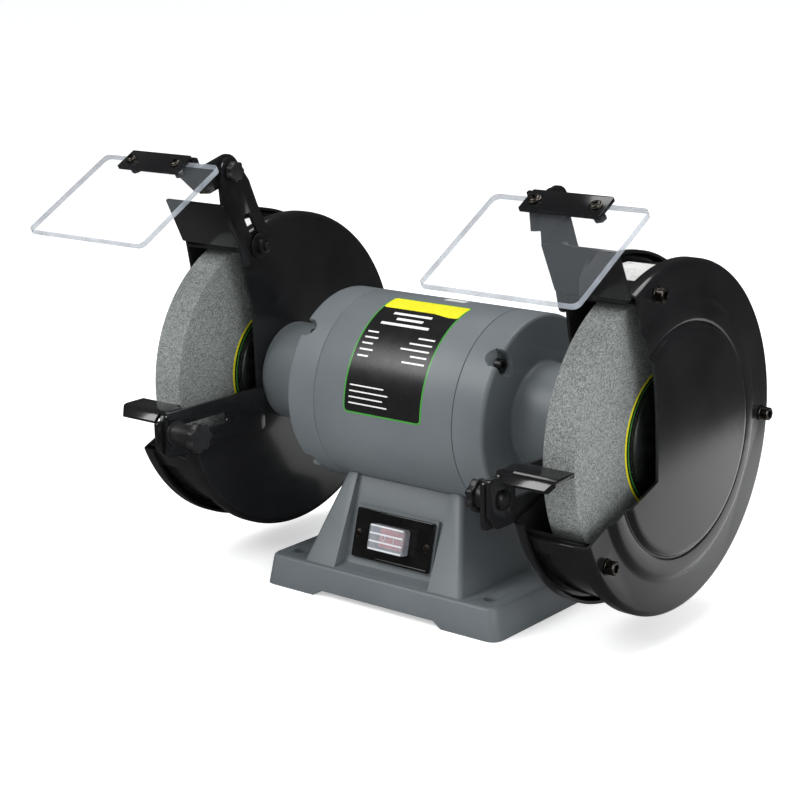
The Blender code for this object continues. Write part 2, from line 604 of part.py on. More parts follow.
def guard_cover(name, side):
    outside = cover_section(COVER_FACE_X, COVER_DOME, COVER_RADIUS, COVER_LIP_X)
    inside = cover_section(COVER_FACE_X - SHEET, COVER_DOME, COVER_RADIUS - SHEET, COVER_LIP_X)
    profile = outside + inside[::-1]
    cover = turned(f"guard_cover_{name}", "guard_paint", profile, side, (0, SPINDLE_Z), steps=LARGE_STEPS)
    cut_mouth(cover, MOUTH)
    for number, angle in enumerate(COVER_SCREW_ANGLES, 1):
        centre = on_circle(COVER_SCREW_CIRCLE, angle)
        combine(cover, rod(f"cover_hole_{name}_{number}", None, COVER_SCREW_RADIUS + GAP, 0.17, 0.20, side,
                           centre, SCREW_STEPS))
        seat = COVER_FACE_X + GAP
        washer, height = COVER_WASHER
        head, stand = COVER_SCREW_HEAD
        end = COVER_FACE_X - COVER_SCREW_REACH
        screw = [(0, seat + stand), (head, seat + stand), (head, seat + height), (washer, seat + height),
                 (washer, seat), (COVER_SCREW_RADIUS, seat), (COVER_SCREW_RADIUS, end), (0, end)]
        turned(f"cover_screw_{name}_{number}", "black_screw", screw, side, centre, steps=SCREW_STEPS)


# Tool rests

def star(radius, lobes):
    """The outline of a knob with round lobes."""
    points = []
    for step in range(lobes * 4):
        turn = 2 * pi * step / (lobes * 4)
        reach = radius * (0.93 + 0.07 * cos(turn * lobes))
        points.append((reach * cos(turn), reach * sin(turn)))
    return points


def knob(name, finish, side, centre, radius, outer_x, head):
    """A star knob whose outer face is towards the motor, at outer_x."""
    outline = [(centre[0] + y, centre[1] + z) for y, z in star(radius, KNOB_LOBES)]
    return sheet(name, finish, side, outer_x, outer_x + head, [outline])


def rest_arm(name, side):
    high = GUARD_X - GAP
    radius = REST_BOLT_RADIUS + 3 * GAP
    sheet(f"rest_arm_{name}", "guard_paint", side, high - ARM_THICKNESS, high,
          [rounded((ARM_Y[0], ARM_Z[0]), (ARM_Y[1], ARM_Z[1]), 0.004),
           slot((ARM_SLOT_Y[0] + radius, REST_BOLT_Z), (ARM_SLOT_Y[1] - radius, REST_BOLT_Z), radius)])


def tool_rest(name, side):
    bolt_y = REST_BOLT_Y[name]
    table_z = TABLE_Z[name]
    low = GUARD_X + GAP
    high = low + ARM_THICKNESS
    edge = bolt_y - REST_HALF
    flange = rounded((edge, ARM_Z[0]), (bolt_y + REST_HALF, table_z - 0.0005), REST_CORNER)
    flange[8:12] = [(edge, ARM_Z[0] + REST_CHAMFER[1]), (edge + REST_CHAMFER[0], ARM_Z[0])]
    rest = sheet(f"tool_rest_{name}", "guard_paint", side, low, high,
                 [flange, circle((bolt_y, REST_BOLT_Z), REST_BOLT_RADIUS + GAP)])
    rear, front = bolt_y + TABLE_REAR, bolt_y - TABLE_FRONT
    corners = ((low, rear), (TABLE_OUTER_X, rear), (TABLE_OUTER_X, front), (low, front))
    table = flat(f"table_{name}", None, [[(side * x, y) for x, y in corners]], ARM_THICKNESS,
                 Matrix.Translation((0, 0, table_z - ARM_THICKNESS / 2)))
    combine(rest, table, "UNION")
    bend = Vector((front + 0.0010, table_z - ARM_THICKNESS / 2))
    tip = bend - Vector(TABLE_LIP)
    length = (bend - tip).length
    start, end = TABLE_LIP_X
    outline = ((start, 0), (end, 0), (TABLE_OUTER_X, length), (start, length))
    lip = flat(f"table_lip_{name}", None, [[(side * x, v) for x, v in outline]], ARM_THICKNESS - 0.0004,
               sloping(tip, bend))
    combine(rest, lip, "UNION")


def rest_fastening(name, side):
    centre = (REST_BOLT_Y[name], REST_BOLT_Z)
    head = GUARD_X + ARM_THICKNESS + 2 * GAP
    washer = GUARD_X - ARM_THICKNESS - 2 * GAP
    outer = washer - KNOB_LENGTH[name]
    bolt_end = outer + 0.0040
    bolt = [(0, head + 0.0030), (0.0045, head + 0.0022), (0.0065, head), (REST_BOLT_RADIUS, head),
            (REST_BOLT_RADIUS, bolt_end + GAP), (0, bolt_end + GAP)]
    turned(f"rest_bolt_{name}", "black_screw", bolt, side, centre, steps=SMALL_STEPS)
    reach, thickness = KNOB_WASHER
    hub_end = outer + KNOB_HEAD - 0.0010
    hub = [(0, washer), (reach, washer), (reach, washer - thickness), (KNOB_HUB_RADIUS, washer - thickness),
           (KNOB_HUB_RADIUS, hub_end), (0, hub_end)]
    item = knob(f"rest_knob_{name}", "black_plastic", side, centre, KNOB_RADIUS, outer, KNOB_HEAD)
    combine(item, turned(f"rest_knob_hub_{name}", None, hub, side, centre, steps=SMALL_STEPS), "UNION")
    combine(item, rod(f"rest_knob_bore_{name}", None, REST_BOLT_RADIUS + GAP, bolt_end, 0.2, side, centre,
                      SCREW_STEPS))


# Spark arrestors and eye shields

def spark_arrestor(name, side):
    high = GUARD_X - GAP
    low = high - BRACKET_THICKNESS
    along = (ARRESTOR_TOP - ARRESTOR_FOOT).normalized()
    outline = [ARRESTOR_FOOT, ARRESTOR_TOP, (-0.0725, 0.2760), *arc(PIVOT, 0.0095, 190, 60, 6),
               (-0.0447, 0.2762), (-0.0365, 0.2572), (-0.0235, 0.2330), (-0.0240, 0.2295), (-0.0500, 0.2155),
               (-0.0525, 0.2175)]
    start = CLAMP - along * 0.0005
    radius = CLAMP_RADIUS + 2 * GAP
    item = sheet(f"spark_arrestor_{name}", "guard_paint", side, low, high,
                 [outline, slot(start, CLAMP + along * BRACKET_SLOT, radius),
                  circle(PIVOT, PIVOT_RADIUS + GAP, SCREW_STEPS)])
    length = (ARRESTOR_TOP - ARRESTOR_FOOT).length
    corners = ((low + 0.0002, 0), (ARRESTOR_OUTER_X, 0), (ARRESTOR_OUTER_X, length), (low + 0.0002, length))
    deflector = flat(f"deflector_{name}", None, [[(side * x, v) for x, v in corners]],
                     BRACKET_THICKNESS - 0.0010, sloping(ARRESTOR_FOOT, ARRESTOR_TOP))
    combine(item, deflector, "UNION")
    nut = low - GAP
    head = GUARD_X + SHEET + GAP
    screw = [(0, head + CLAMP_HEAD), (0.0035, head + CLAMP_HEAD), (CLAMP_HEAD_RADIUS, head),
             (CLAMP_RADIUS, head), (CLAMP_RADIUS, nut), (0.0088, nut), (0.0088, nut - 0.0014), (0.0056, nut - 0.0014),
             (0.0056, nut - 0.0060), (CLAMP_RADIUS, nut - 0.0060), (CLAMP_RADIUS, nut - 0.0092),
             (0, nut - 0.0092)]
    turned(f"arrestor_screw_{name}", "black_screw", screw, side, CLAMP, steps=SMALL_STEPS)


def shield_arm(name, side):
    low = GUARD_X + GAP
    high = low + SHIELD_THICKNESS
    along = (LENS_BACK - LENS_FRONT).normalized()
    above = Vector((-along.y, along.x))
    lift = GAP + SHIELD_THICKNESS / 2
    strip_end = LENS_BACK + along * STRIP_OVERHANG + above * lift
    strip_start = strip_end - along * STRIP_WIDTH
    outline = [strip_end + Vector((0.0008, -0.0010)), (-0.0866, 0.2888), (-0.0781, 0.2911),
               *arc(PIVOT, SHIELD_EYE_RADIUS, 105, -115, 12), (-0.0793, 0.2703),
               WEB_FOOT + Vector((-0.0060, 0))]
    item = sheet(f"shield_arm_{name}", "guard_paint", side, low, high,
                 [outline, circle(PIVOT, PIVOT_RADIUS + GAP, SCREW_STEPS)])
    height = (strip_end - WEB_FOOT).length
    web = ((low + 0.0002, 0), (WEB_X[1], 0), (WEB_X[0], height), (low + 0.0002, height))
    combine(item, flat(f"shield_web_{name}", None, [[(side * x, v) for x, v in web]],
                       SHIELD_THICKNESS - 0.0004, sloping(WEB_FOOT, strip_end)), "UNION")
    reach = (STRIP_X[1] - STRIP_X[0]) / 2
    strip = flat(f"shield_strip_{name}", None, [rounded((-reach, 0), (reach, STRIP_WIDTH + 0.0008), 0.001)],
                 SHIELD_THICKNESS, sloping(strip_start, strip_end, side * sum(STRIP_X) / 2))
    combine(item, strip, "UNION")
    lens_low = LENS_FRONT - above * LENS_THICKNESS / 2
    lens_high = LENS_BACK - above * LENS_THICKNESS / 2
    half = (LENS_X[1] - LENS_X[0]) / 2
    reach = (LENS_BACK - LENS_FRONT).length
    middle = (sum(STRIP_X) - sum(LENS_X)) / 2 * side
    screw_v = reach + STRIP_OVERHANG - STRIP_WIDTH / 2
    holes = [circle((middle + way * STRIP_SCREW_PITCH / 2, screw_v), STRIP_SCREW_RADIUS) for way in (-1, 1)]
    flat(f"shield_lens_{name}", "clear_plastic", [rounded((-half, 0), (half, reach), 0.004), *holes],
         LENS_THICKNESS, sloping(lens_low, lens_high, side * sum(LENS_X) / 2))


def shield_knob(name, side):
    face = GUARD_X - BRACKET_THICKNESS - 2 * GAP
    nut = GUARD_X + GAP + SHIELD_THICKNESS + GAP
    outer = face - PIVOT_KNOB_LENGTH
    nut_radius, nut_height = PIVOT_NUT
    collar = PIVOT_KNOB_RADIUS - 0.0012
    stud = [(0, nut + nut_height), (nut_radius, nut + nut_height), (nut_radius, nut), (PIVOT_RADIUS, nut),
            (PIVOT_RADIUS, face), (collar, face), (collar, outer + 0.0030), (0, outer + 0.0030)]
    item = knob(f"shield_knob_{name}", "black_plastic", side, PIVOT, PIVOT_KNOB_RADIUS, outer,
                PIVOT_KNOB_LENGTH - 0.0008)
    combine(item, turned(f"shield_stud_{name}", None, stud, side, PIVOT, steps=SMALL_STEPS), "UNION")


base_casting()
base_cover()
cord_gland()
capacitor()
switch()
motor_housing()
stator()
spindle()
for bolt in range(4):
    tie_bolt(bolt)
for hand, sign in SIDES.items():
    end_bell(f"end_bell_{hand}", sign)
    ring(f"bearing_{hand}", "steel", SPINDLE_RADIUS + GAP, BEARING_RADIUS, BEARING_SEAT_X + GAP,
         BEARING_SEAT_X + GAP + BEARING_WIDTH, sign, steps=MIDDLE_STEPS)
    wheel_set(hand, sign)
    guard_plate(hand, sign)
    guard_band(hand, sign)
    guard_cover(hand, sign)
    rest_arm(hand, sign)
    tool_rest(hand, sign)
    rest_fastening(hand, sign)
    spark_arrestor(hand, sign)
    shield_arm(hand, sign)
    shield_knob(hand, sign)
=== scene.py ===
"""Bench grinder for two 200 mm wheels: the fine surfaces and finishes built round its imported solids.

Metres, +Z up. X runs along the spindle, the user stands at -Y, and the bench top is at Z 0. Pieces that
come in pairs are built for the right end and mirrored for the left one.
"""
from math import atan2, cos, degrees, pi, radians, sin, tan

import bmesh
import bpy
from mathutils import Matrix, Vector


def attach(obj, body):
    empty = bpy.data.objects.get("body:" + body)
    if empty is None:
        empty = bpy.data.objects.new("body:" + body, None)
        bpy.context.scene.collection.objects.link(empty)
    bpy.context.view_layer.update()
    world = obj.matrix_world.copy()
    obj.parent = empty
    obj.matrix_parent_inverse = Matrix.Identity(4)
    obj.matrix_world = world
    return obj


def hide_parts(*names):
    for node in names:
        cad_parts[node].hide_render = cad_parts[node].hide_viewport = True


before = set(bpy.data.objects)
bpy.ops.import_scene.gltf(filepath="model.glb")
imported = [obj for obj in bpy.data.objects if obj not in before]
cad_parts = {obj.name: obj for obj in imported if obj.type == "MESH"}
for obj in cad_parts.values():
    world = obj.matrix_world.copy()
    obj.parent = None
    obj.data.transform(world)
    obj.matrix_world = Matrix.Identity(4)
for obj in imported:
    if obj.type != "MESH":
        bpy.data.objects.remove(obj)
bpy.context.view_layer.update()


# Camera and studio: the camera stands off the right front corner, above the spindle. The grinder is on pale
# paper, with a soft light over its left front, a large one at its right and one above. What the paper and the
# surroundings send to glossy paint is held back, so that black paint stays black.

EYE = Vector((0.7957, -1.0283, 0.4692))
LOOK_YAW, LOOK_PITCH, LOOK_ROLL = radians(39.006), radians(-14.608), radians(-1.019)
SURROUND_LEVEL = 0.62
PAPER_TONE, REFLECTED_SHADE_TONE = 0.90, 0.05
SHINE_CENTRE, SHINE_REACH = (0.15, 0.30, 0), (0.22, 0.36)

ahead = Vector((-sin(LOOK_YAW) * cos(LOOK_PITCH), cos(LOOK_YAW) * cos(LOOK_PITCH), sin(LOOK_PITCH)))
level_right = ahead.cross(Vector((0, 0, 1))).normalized()
level_up = level_right.cross(ahead)
right = level_right * cos(LOOK_ROLL) + level_up * sin(LOOK_ROLL)
up = level_up * cos(LOOK_ROLL) - level_right * sin(LOOK_ROLL)
lens = bpy.data.cameras.new("camera")
lens.lens = 88.85
lens.sensor_width = 36
camera = bpy.data.objects.new("camera", lens)
camera.matrix_world = Matrix((right, up, -ahead)).transposed().to_4x4()
camera.matrix_world.translation = EYE
bpy.context.collection.objects.link(camera)
bpy.context.scene.camera = camera
bpy.context.scene.view_settings.view_transform = "Standard"


def softbox(name, place, aim, size, power):
    light = bpy.data.lights.new(name, "AREA")
    light.shape = "RECTANGLE"
    light.size, light.size_y = size
    light.energy = power
    lamp = bpy.data.objects.new(name, light)
    lamp.location = place
    lamp.rotation_euler = (Vector(aim) - Vector(place)).to_track_quat("-Z", "Y").to_euler()
    bpy.context.collection.objects.link(lamp)


softbox("key_light", (-1.1, -1.6, 1.9), (0, 0, 0.15), (1.2, 1.2), 34)
softbox("fill_light", (2.5, -0.7, 1.0), (0.1, 0, 0.15), (1.5, 1.5), 30)
softbox("top_light", (0.1, 0.5, 2.2), (0, 0, 0.15), (1.8, 1.0), 22)


def by_ray(tree, socket, plain_level, shares):
    """Sets a socket to a level that changes with the kind of ray that meets it."""
    rays = tree.nodes.new("ShaderNodeLightPath")
    level = None
    for ray, share in shares:
        change = tree.nodes.new("ShaderNodeMath")
        change.operation = "MULTIPLY_ADD"
        change.inputs[1].default_value = share
        change.inputs[2].default_value = plain_level
        tree.links.new(rays.outputs[ray], change.inputs[0])
        if level:
            tree.links.new(level.outputs["Value"], change.inputs[2])
        level = change
    tree.links.new(level.outputs["Value"], socket)


studio = bpy.data.worlds.new("studio")
studio.use_nodes = True
glow = studio.node_tree.nodes["Background"]
glow.inputs["Color"].default_value = (0.97, 0.98, 1.0, 1)
by_ray(studio.node_tree, glow.inputs["Strength"], SURROUND_LEVEL,
       (("Is Glossy Ray", -0.57), ("Is Camera Ray", 0.50)))
bpy.context.scene.world = studio

sweep_mesh = bmesh.new()
bmesh.ops.create_grid(sweep_mesh, x_segments=2, y_segments=2, size=14)
sweep_data = bpy.data.meshes.new("floor")
sweep_mesh.to_mesh(sweep_data)
sweep_mesh.free()
sweep = bpy.data.objects.new("floor", sweep_data)
bpy.context.collection.objects.link(sweep)
paper = bpy.data.materials.new("pale_paper")
paper.use_nodes = True
paper_shader = paper.node_tree.nodes["Principled BSDF"]
paper_shader.inputs["Roughness"].default_value = 0.9
paper_shader.inputs["Specular IOR Level"].default_value = 0.1
paper_shader.inputs["Emission Color"].default_value = (1, 1, 1, 1)
by_ray(paper.node_tree, paper_shader.inputs["Emission Strength"], 0.0, (("Is Camera Ray", 0.46),))
# Painted shade in reflections: seen by glossy rays, the paper's colour is near white close to the grinder and
# fades to near black further off, so black paint reflects dark surroundings.
place = paper.node_tree.nodes.new("ShaderNodeTexCoord")
reach = paper.node_tree.nodes.new("ShaderNodeVectorMath")
reach.operation = "DISTANCE"
reach.inputs[1].default_value = SHINE_CENTRE
fade = paper.node_tree.nodes.new("ShaderNodeMapRange")
fade.interpolation_type = "SMOOTHSTEP"
shine_levels = (*SHINE_REACH, PAPER_TONE, REFLECTED_SHADE_TONE)
for socket, level in zip(("From Min", "From Max", "To Min", "To Max"), shine_levels):
    fade.inputs[socket].default_value = level
rays = paper.node_tree.nodes.new("ShaderNodeLightPath")
tone = paper.node_tree.nodes.new("ShaderNodeMix")
tone.inputs["A"].default_value = PAPER_TONE
paper.node_tree.links.new(place.outputs["Object"], reach.inputs[0])
paper.node_tree.links.new(reach.outputs["Value"], fade.inputs["Value"])
paper.node_tree.links.new(rays.outputs["Is Glossy Ray"], tone.inputs["Factor"])
paper.node_tree.links.new(fade.outputs["Result"], tone.inputs["B"])
paper.node_tree.links.new(tone.outputs["Result"], paper_shader.inputs["Base Color"])
sweep_data.materials.append(paper)


# Base: one hollow iron casting, a flanged foot with four bolt holes and a tapered pedestal with a saddle for
# the motor. It is sand cast, so it has draft, round edges and fillets, and is sprayed in satin grey enamel.

FOOT = (0.0995, 0.0764)
FOOT_TOP = (0.0957, 0.0740)
FOOT_HEIGHT = 0.0215
FOOT_CORNER = 0.009
PEDESTAL_FOOT = (0.0676, 0.0713, 0.0205)
PEDESTAL_TOP = (0.0484, 0.0420, 0.0850)
PANEL_HALF = 0.0400
PANEL_BACK = ((-0.0340, 0.1000), (-0.0585, 0.0290), (-0.0612, 0.0240), (-0.0655, 0.0222), (-0.0715, 0.0216),
              (-0.1000, 0.0216), (-0.1000, 0.1000))
CAVITY_FOOT, CAVITY_TOP = (0.0600, 0.0595), (0.0470, 0.0430)
CAVITY_HEIGHT, CAVITY_SHIFT = 0.0580, 0.0040
BOLT_HOLE = (0.0820, 0.0575)
MOTOR_RADIUS = 0.0665
SPINDLE_Z = 0.1327
GAP = 0.0003
BOSS_HALF, SWITCH_HOLE_HALF = (0.0345, 0.01835), (0.0138, 0.01055)
LEDGE_HALF, BASE_PLATE_HALF = (0.0645, 0.0640), (0.0642, 0.0637)
FOOT_GAP = ((-0.0567, -0.0010), (-0.0485, 0.0043), (0.0485, 0.0043), (0.0567, -0.0010))
GLAND_X, GLAND_Z = 0.0300, 0.0360
SWITCH_CENTRE = Vector((0, -0.0568, 0.0453))
SWITCH_PLACE = Matrix.Translation(SWITCH_CENTRE) @ Matrix.Rotation(radians(90 - 15.3), 4, "X")


def finish(name, tones, gloss, metallic=0.0, patch=35, grain=1400, relief=0.00001, coat=0.0):
    """A finish whose colour drifts between two tones in patches, with fine grain in its relief."""
    material = bpy.data.materials.new(name)
    material.use_nodes = True
    nodes, link = material.node_tree.nodes, material.node_tree.links.new
    shader = nodes["Principled BSDF"]
    shader.inputs["Metallic"].default_value = metallic
    shader.inputs["Coat Weight"].default_value = coat
    shader.inputs["Coat Roughness"].default_value = 0.08
    place = nodes.new("ShaderNodeTexCoord")
    patches = nodes.new("ShaderNodeTexNoise")
    patches.inputs["Scale"].default_value = patch
    patches.inputs["Detail"].default_value = 5
    ramp = nodes.new("ShaderNodeValToRGB")
    for stop, position, tone in zip(ramp.color_ramp.elements, (0.36, 0.64), tones):
        stop.position = position
        stop.color = (*tone, 1)
    fine = nodes.new("ShaderNodeTexNoise")
    fine.inputs["Scale"].default_value = grain
    fine.inputs["Detail"].default_value = 3
    sheen = nodes.new("ShaderNodeMapRange")
    sheen.inputs["To Min"].default_value = gloss[0]
    sheen.inputs["To Max"].default_value = gloss[1]
    bump = nodes.new("ShaderNodeBump")
    bump.inputs["Strength"].default_value = 0.5
    bump.inputs["Distance"].default_value = relief
    link(place.outputs["Object"], patches.inputs["Vector"])
    link(place.outputs["Object"], fine.inputs["Vector"])
    link(patches.outputs["Fac"], ramp.inputs["Fac"])
    link(ramp.outputs["Color"], shader.inputs["Base Color"])
    link(patches.outputs["Fac"], sheen.inputs["Value"])
    link(sheen.outputs["Result"], shader.inputs["Roughness"])
    link(fine.outputs["Fac"], bump.inputs["Height"])
    link(bump.outputs["Normal"], shader.inputs["Normal"])
    return material


def softened(points, radius, parts=4):
    """An outline with each of its corners rounded to the radius, or less where a side is short."""
    path = []
    points = [Vector(point) for point in points]
    for before, corner, after in zip(points[-1:] + points[:-1], points, points[1:] + points[:1]):
        back, on = before - corner, after - corner
        half = back.angle(on) / 2
        reach = min(radius / tan(half), back.length * 0.46, on.length * 0.46)
        start, end = corner + back.normalized() * reach, corner + on.normalized() * reach
        for part in range(parts + 1):
            share = part / parts
            path.append(tuple(start * (1 - share) ** 2 + corner * 2 * share * (1 - share) + end * share ** 2))
    return path


def arc(centre, radius, start, end, parts):
    turns = [radians(start + (end - start) * part / parts) for part in range(parts + 1)]
    return [(centre[0] + radius * cos(turn), centre[1] + radius * sin(turn)) for turn in turns]


def circle(centre, radius, parts=32):
    return arc(centre, radius, 0, 360 - 360 / parts, parts - 1)


def outward(shape):
    """Turns a closed shape's faces so that they all face out of it."""
    bmesh.ops.recalc_face_normals(shape, faces=shape.faces)
    if shape.calc_volume(signed=True) < 0:
        bmesh.ops.reverse_faces(shape, faces=shape.faces)
    return shape


def slab(outline, depth, place=Matrix(), holes=()):
    """A flat outline with holes, given a depth along its own Z and then put in its place."""
    shape = bmesh.new()
    edges = []
    for loop in (outline, *holes):
        corners = [shape.verts.new((u, v, 0)) for u, v in loop]
        edges += [shape.edges.new(pair) for pair in zip(corners, corners[1:] + corners[:1])]
    bmesh.ops.triangle_fill(shape, use_beauty=True, use_dissolve=not holes, edges=edges)
    grown = bmesh.ops.extrude_face_region(shape, geom=shape.faces[:])["geom"]
    raised = [part for part in grown if isinstance(part, bmesh.types.BMVert)]
    bmesh.ops.translate(shape, vec=(0, 0, depth), verts=raised)
    shape.transform(place)
    return outward(shape)


def upright(x):
    """Puts an outline of (y, z) in the plane of x, with its depth towards +X."""
    return Matrix(((0, 0, 1, x), (1, 0, 0, 0), (0, 1, 0, 0), (0, 0, 0, 1)))


def frontal(y):
    """Puts an outline of (x, z) in the plane of y, with its depth towards -Y."""
    return Matrix(((1, 0, 0, 0), (0, 0, -1, y), (0, 1, 0, 0), (0, 0, 0, 1)))


def tapered(foot, top, low, high, centre_y=0.0):
    shape = bmesh.new()
    bmesh.ops.create_cube(shape, size=2)
    for corner in shape.verts:
        half = top if corner.co.z > 0 else foot
        level = high if corner.co.z > 0 else low
        corner.co = (corner.co.x * half[0], corner.co.y * half[1] + centre_y, level)
    return shape


def rod(radius, low, high, centre=(0, 0), parts=32):
    return slab(circle(centre, radius, parts), high - low, upright(low))


def scratch(shape):
    mesh = bpy.data.meshes.new("scratch")
    shape.to_mesh(mesh)
    shape.free()
    item = bpy.data.objects.new("scratch", mesh)
    bpy.context.collection.objects.link(item)
    return item


def worked(shape, tools, operation="DIFFERENCE"):
    """A shape with tools cut out of it, or joined to it, as one shape."""
    items = [scratch(shape)] + [scratch(tool) for tool in tools]
    for tool in items[1:]:
        modifier = items[0].modifiers.new("work", "BOOLEAN")
        modifier.operation = operation
        modifier.object = tool
    result = bmesh.new()
    result.from_object(items[0], bpy.context.evaluated_depsgraph_get())
    for item in items:
        bpy.data.objects.remove(item, do_unlink=True)
    bmesh.ops.remove_doubles(result, verts=result.verts, dist=0.000002)
    bmesh.ops.dissolve_limit(result, angle_limit=radians(0.6), verts=result.verts, edges=result.edges)
    return result


def eased(shape, width, parts=2, least=30, chosen=None):
    """Rounds the edges that turn by more than the least angle."""
    edges = [edge for edge in shape.edges if edge.is_manifold and edge.calc_face_angle() > radians(least)
             and (chosen is None or chosen(edge))]
    bmesh.ops.bevel(shape, geom=edges, offset=width, offset_type="OFFSET", segments=parts, profile=0.5,
                    affect="EDGES", clamp_overlap=True, material=-1, loop_slide=True)
    return shape


def piece(name, shape, material, body, nodes=(), side=1):
    """Makes a finished shape a piece of the grinder, mirrored for the left end."""
    if side < 0:
        shape.transform(Matrix.Scale(-1, 4, (1, 0, 0)))
    mesh = bpy.data.meshes.new(name)
    outward(shape).to_mesh(mesh)
    shape.free()
    item = bpy.data.objects.new(name, mesh)
    bpy.context.collection.objects.link(item)
    for finish_of_part in material if isinstance(material, (list, tuple)) else [material]:
        mesh.materials.append(finish_of_part)
    mesh.shade_smooth()
    mesh.set_sharp_from_angle(angle=radians(32))
    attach(item, body)
    if nodes:
        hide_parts(*nodes)
    return item


casting_enamel = finish("casting_enamel", ((0.128, 0.146, 0.156), (0.144, 0.163, 0.173)), (0.40, 0.52),
                        patch=18, grain=900, relief=0.00012)

foot_outline = [(-FOOT[0], -FOOT[1]), (FOOT[0], -FOOT[1]), (FOOT[0], FOOT[1]), (-FOOT[0], FOOT[1])]
foot = slab(softened(foot_outline, FOOT_CORNER, 6), FOOT_HEIGHT)
for corner in foot.verts:
    if corner.co.z > 0:
        corner.co.x *= FOOT_TOP[0] / FOOT[0]
        corner.co.y *= FOOT_TOP[1] / FOOT[1]
eased(foot, 0.0020, 3, chosen=lambda edge: min(v.co.z for v in edge.verts) > 0.02)
pedestal = tapered(PEDESTAL_FOOT[:2], PEDESTAL_TOP[:2], PEDESTAL_FOOT[2], PEDESTAL_TOP[2])
eased(pedestal, 0.0030, 4, chosen=lambda edge: abs(edge.verts[0].co.z - edge.verts[1].co.z) > 0.03)
casting = worked(foot, [pedestal], "UNION")
eased(casting, 0.0030, 3, 30, chosen=lambda edge: all(
    abs(v.co.z - FOOT_HEIGHT) < 0.0002 and abs(v.co.x) < 0.07 and abs(v.co.y) < 0.0735 for v in edge.verts))
front_panel = slab(PANEL_BACK, 2 * PANEL_HALF, upright(-PANEL_HALF))
boss = tapered(BOSS_HALF, BOSS_HALF, -0.0183, -0.0023)
boss.transform(SWITCH_PLACE)
casting = worked(worked(casting, [front_panel]), [boss], "UNION")
saddle = rod(MOTOR_RADIUS + GAP, -0.2, 0.2, (0, SPINDLE_Z), 160)
cavity = tapered(CAVITY_FOOT, CAVITY_TOP, -0.001, CAVITY_HEIGHT, CAVITY_SHIFT)
cover_ledge = tapered(LEDGE_HALF, LEDGE_HALF, -0.01, 0.0067, CAVITY_SHIFT)
foot_gap = slab(FOOT_GAP, 0.4, frontal(0.2))
switch_hole = tapered(SWITCH_HOLE_HALF, SWITCH_HOLE_HALF, -0.05, 0.01)
switch_hole.transform(SWITCH_PLACE)
gland_slope = atan2(PEDESTAL_FOOT[1] - PEDESTAL_TOP[1], PEDESTAL_TOP[2] - PEDESTAL_FOOT[2])
gland_share = (GLAND_Z - PEDESTAL_FOOT[2]) / (PEDESTAL_TOP[2] - PEDESTAL_FOOT[2])
gland_y = PEDESTAL_FOOT[1] + gland_share * (PEDESTAL_TOP[1] - PEDESTAL_FOOT[1])
GLAND_PLACE = Matrix.Translation((GLAND_X, gland_y, GLAND_Z)) @ Matrix.Rotation(gland_slope - pi / 2, 4, "X")
gland_bore = slab(circle((0, 0), 0.0073), 0.1, GLAND_PLACE @ Matrix.Translation((0, 0, -0.05)))
bolt_holes = [slab(circle((x * BOLT_HOLE[0], y * BOLT_HOLE[1]), 0.0048), 0.2,
                   Matrix.Translation((0, 0, -0.1))) for x in (-1, 1) for y in (-1, 1)]
casting = worked(casting, [saddle, cavity, cover_ledge, foot_gap, switch_hole, gland_bore, *bolt_holes])
eased(casting, 0.0011, 2, 32)
piece("pedestal_casting", casting, casting_enamel, "frame", ["base_casting"])

zinc = finish("zinc_plate", ((0.42, 0.43, 0.44), (0.52, 0.52, 0.53)), (0.28, 0.42), metallic=1.0, patch=60)
cover_sheet = tapered(BASE_PLATE_HALF, BASE_PLATE_HALF, 0.0046, 0.0061, CAVITY_SHIFT)
piece("base_plate", eased(cover_sheet, 0.0003), zinc, "frame", ["base_cover"])


# Cord gland: a moulded black bush pressed through the back of the pedestal, with a collar outside.

moulded_black = finish("moulded_black", ((0.010, 0.010, 0.011), (0.018, 0.018, 0.019)), (0.34, 0.48),
                       patch=90, grain=2600, relief=0.00004)


def turned(section, centre=(0, SPINDLE_Z), parts=128, loop=True):
    """A section of (x, radius) points, spun a full turn about a line along X through (y, z)."""
    shape = bmesh.new()
    points = [shape.verts.new((x, centre[0], centre[1] + radius)) for x, radius in section]
    ends = points[1:] + (points[:1] if loop else [])
    edges = [shape.edges.new(pair) for pair in zip(points, ends)]
    bmesh.ops.spin(shape, geom=points + edges, cent=(0, *centre), axis=(1, 0, 0), angle=2 * pi, steps=parts,
                   use_merge=True, use_duplicate=False)
    bmesh.ops.remove_doubles(shape, verts=shape.verts, dist=0.000001)
    return outward(shape)


gland = turned(softened([(0.0090, 0.0040), (0.0090, 0.0068), (0.0055, 0.0095), (GAP, 0.0095), (GAP, 0.0070),
                         (-0.0140, 0.0070), (-0.0140, 0.0040)], 0.0006, 2), (0, 0), 48)
gland.transform(GLAND_PLACE @ Matrix.Rotation(-pi / 2, 4, "Y"))
piece("gland_bush", gland, moulded_black, "frame", ["cord_gland"])


# Motor: a rolled steel tube between two iron end bells. Each bell is turned, has a neck that carries a wheel
# guard, and four pockets for the bolts that tie the motor together. All of it is in the casting's enamel.

HOUSING_HALF = 0.0580
HOUSING_WALL = 0.0050
MOTOR_HALF = 0.0828
NECK_RADIUS, NECK_BORE = 0.0349, 0.0285
GUARD_X = 0.1340
TIE_CIRCLE = 0.0575
TIE_POCKET_FLOOR = 0.0758
SCOOP_SLOPE, SCOOP_RADIUS, SCOOP_START = radians(31), 0.0066, 0.0475
SIDES = {"left": -1, "right": 1}


def on_circle(radius, angle, centre=(0, SPINDLE_Z)):
    """A point (y, z) at an angle measured up from the front."""
    return (centre[0] - radius * cos(radians(angle)), centre[1] + radius * sin(radians(angle)))


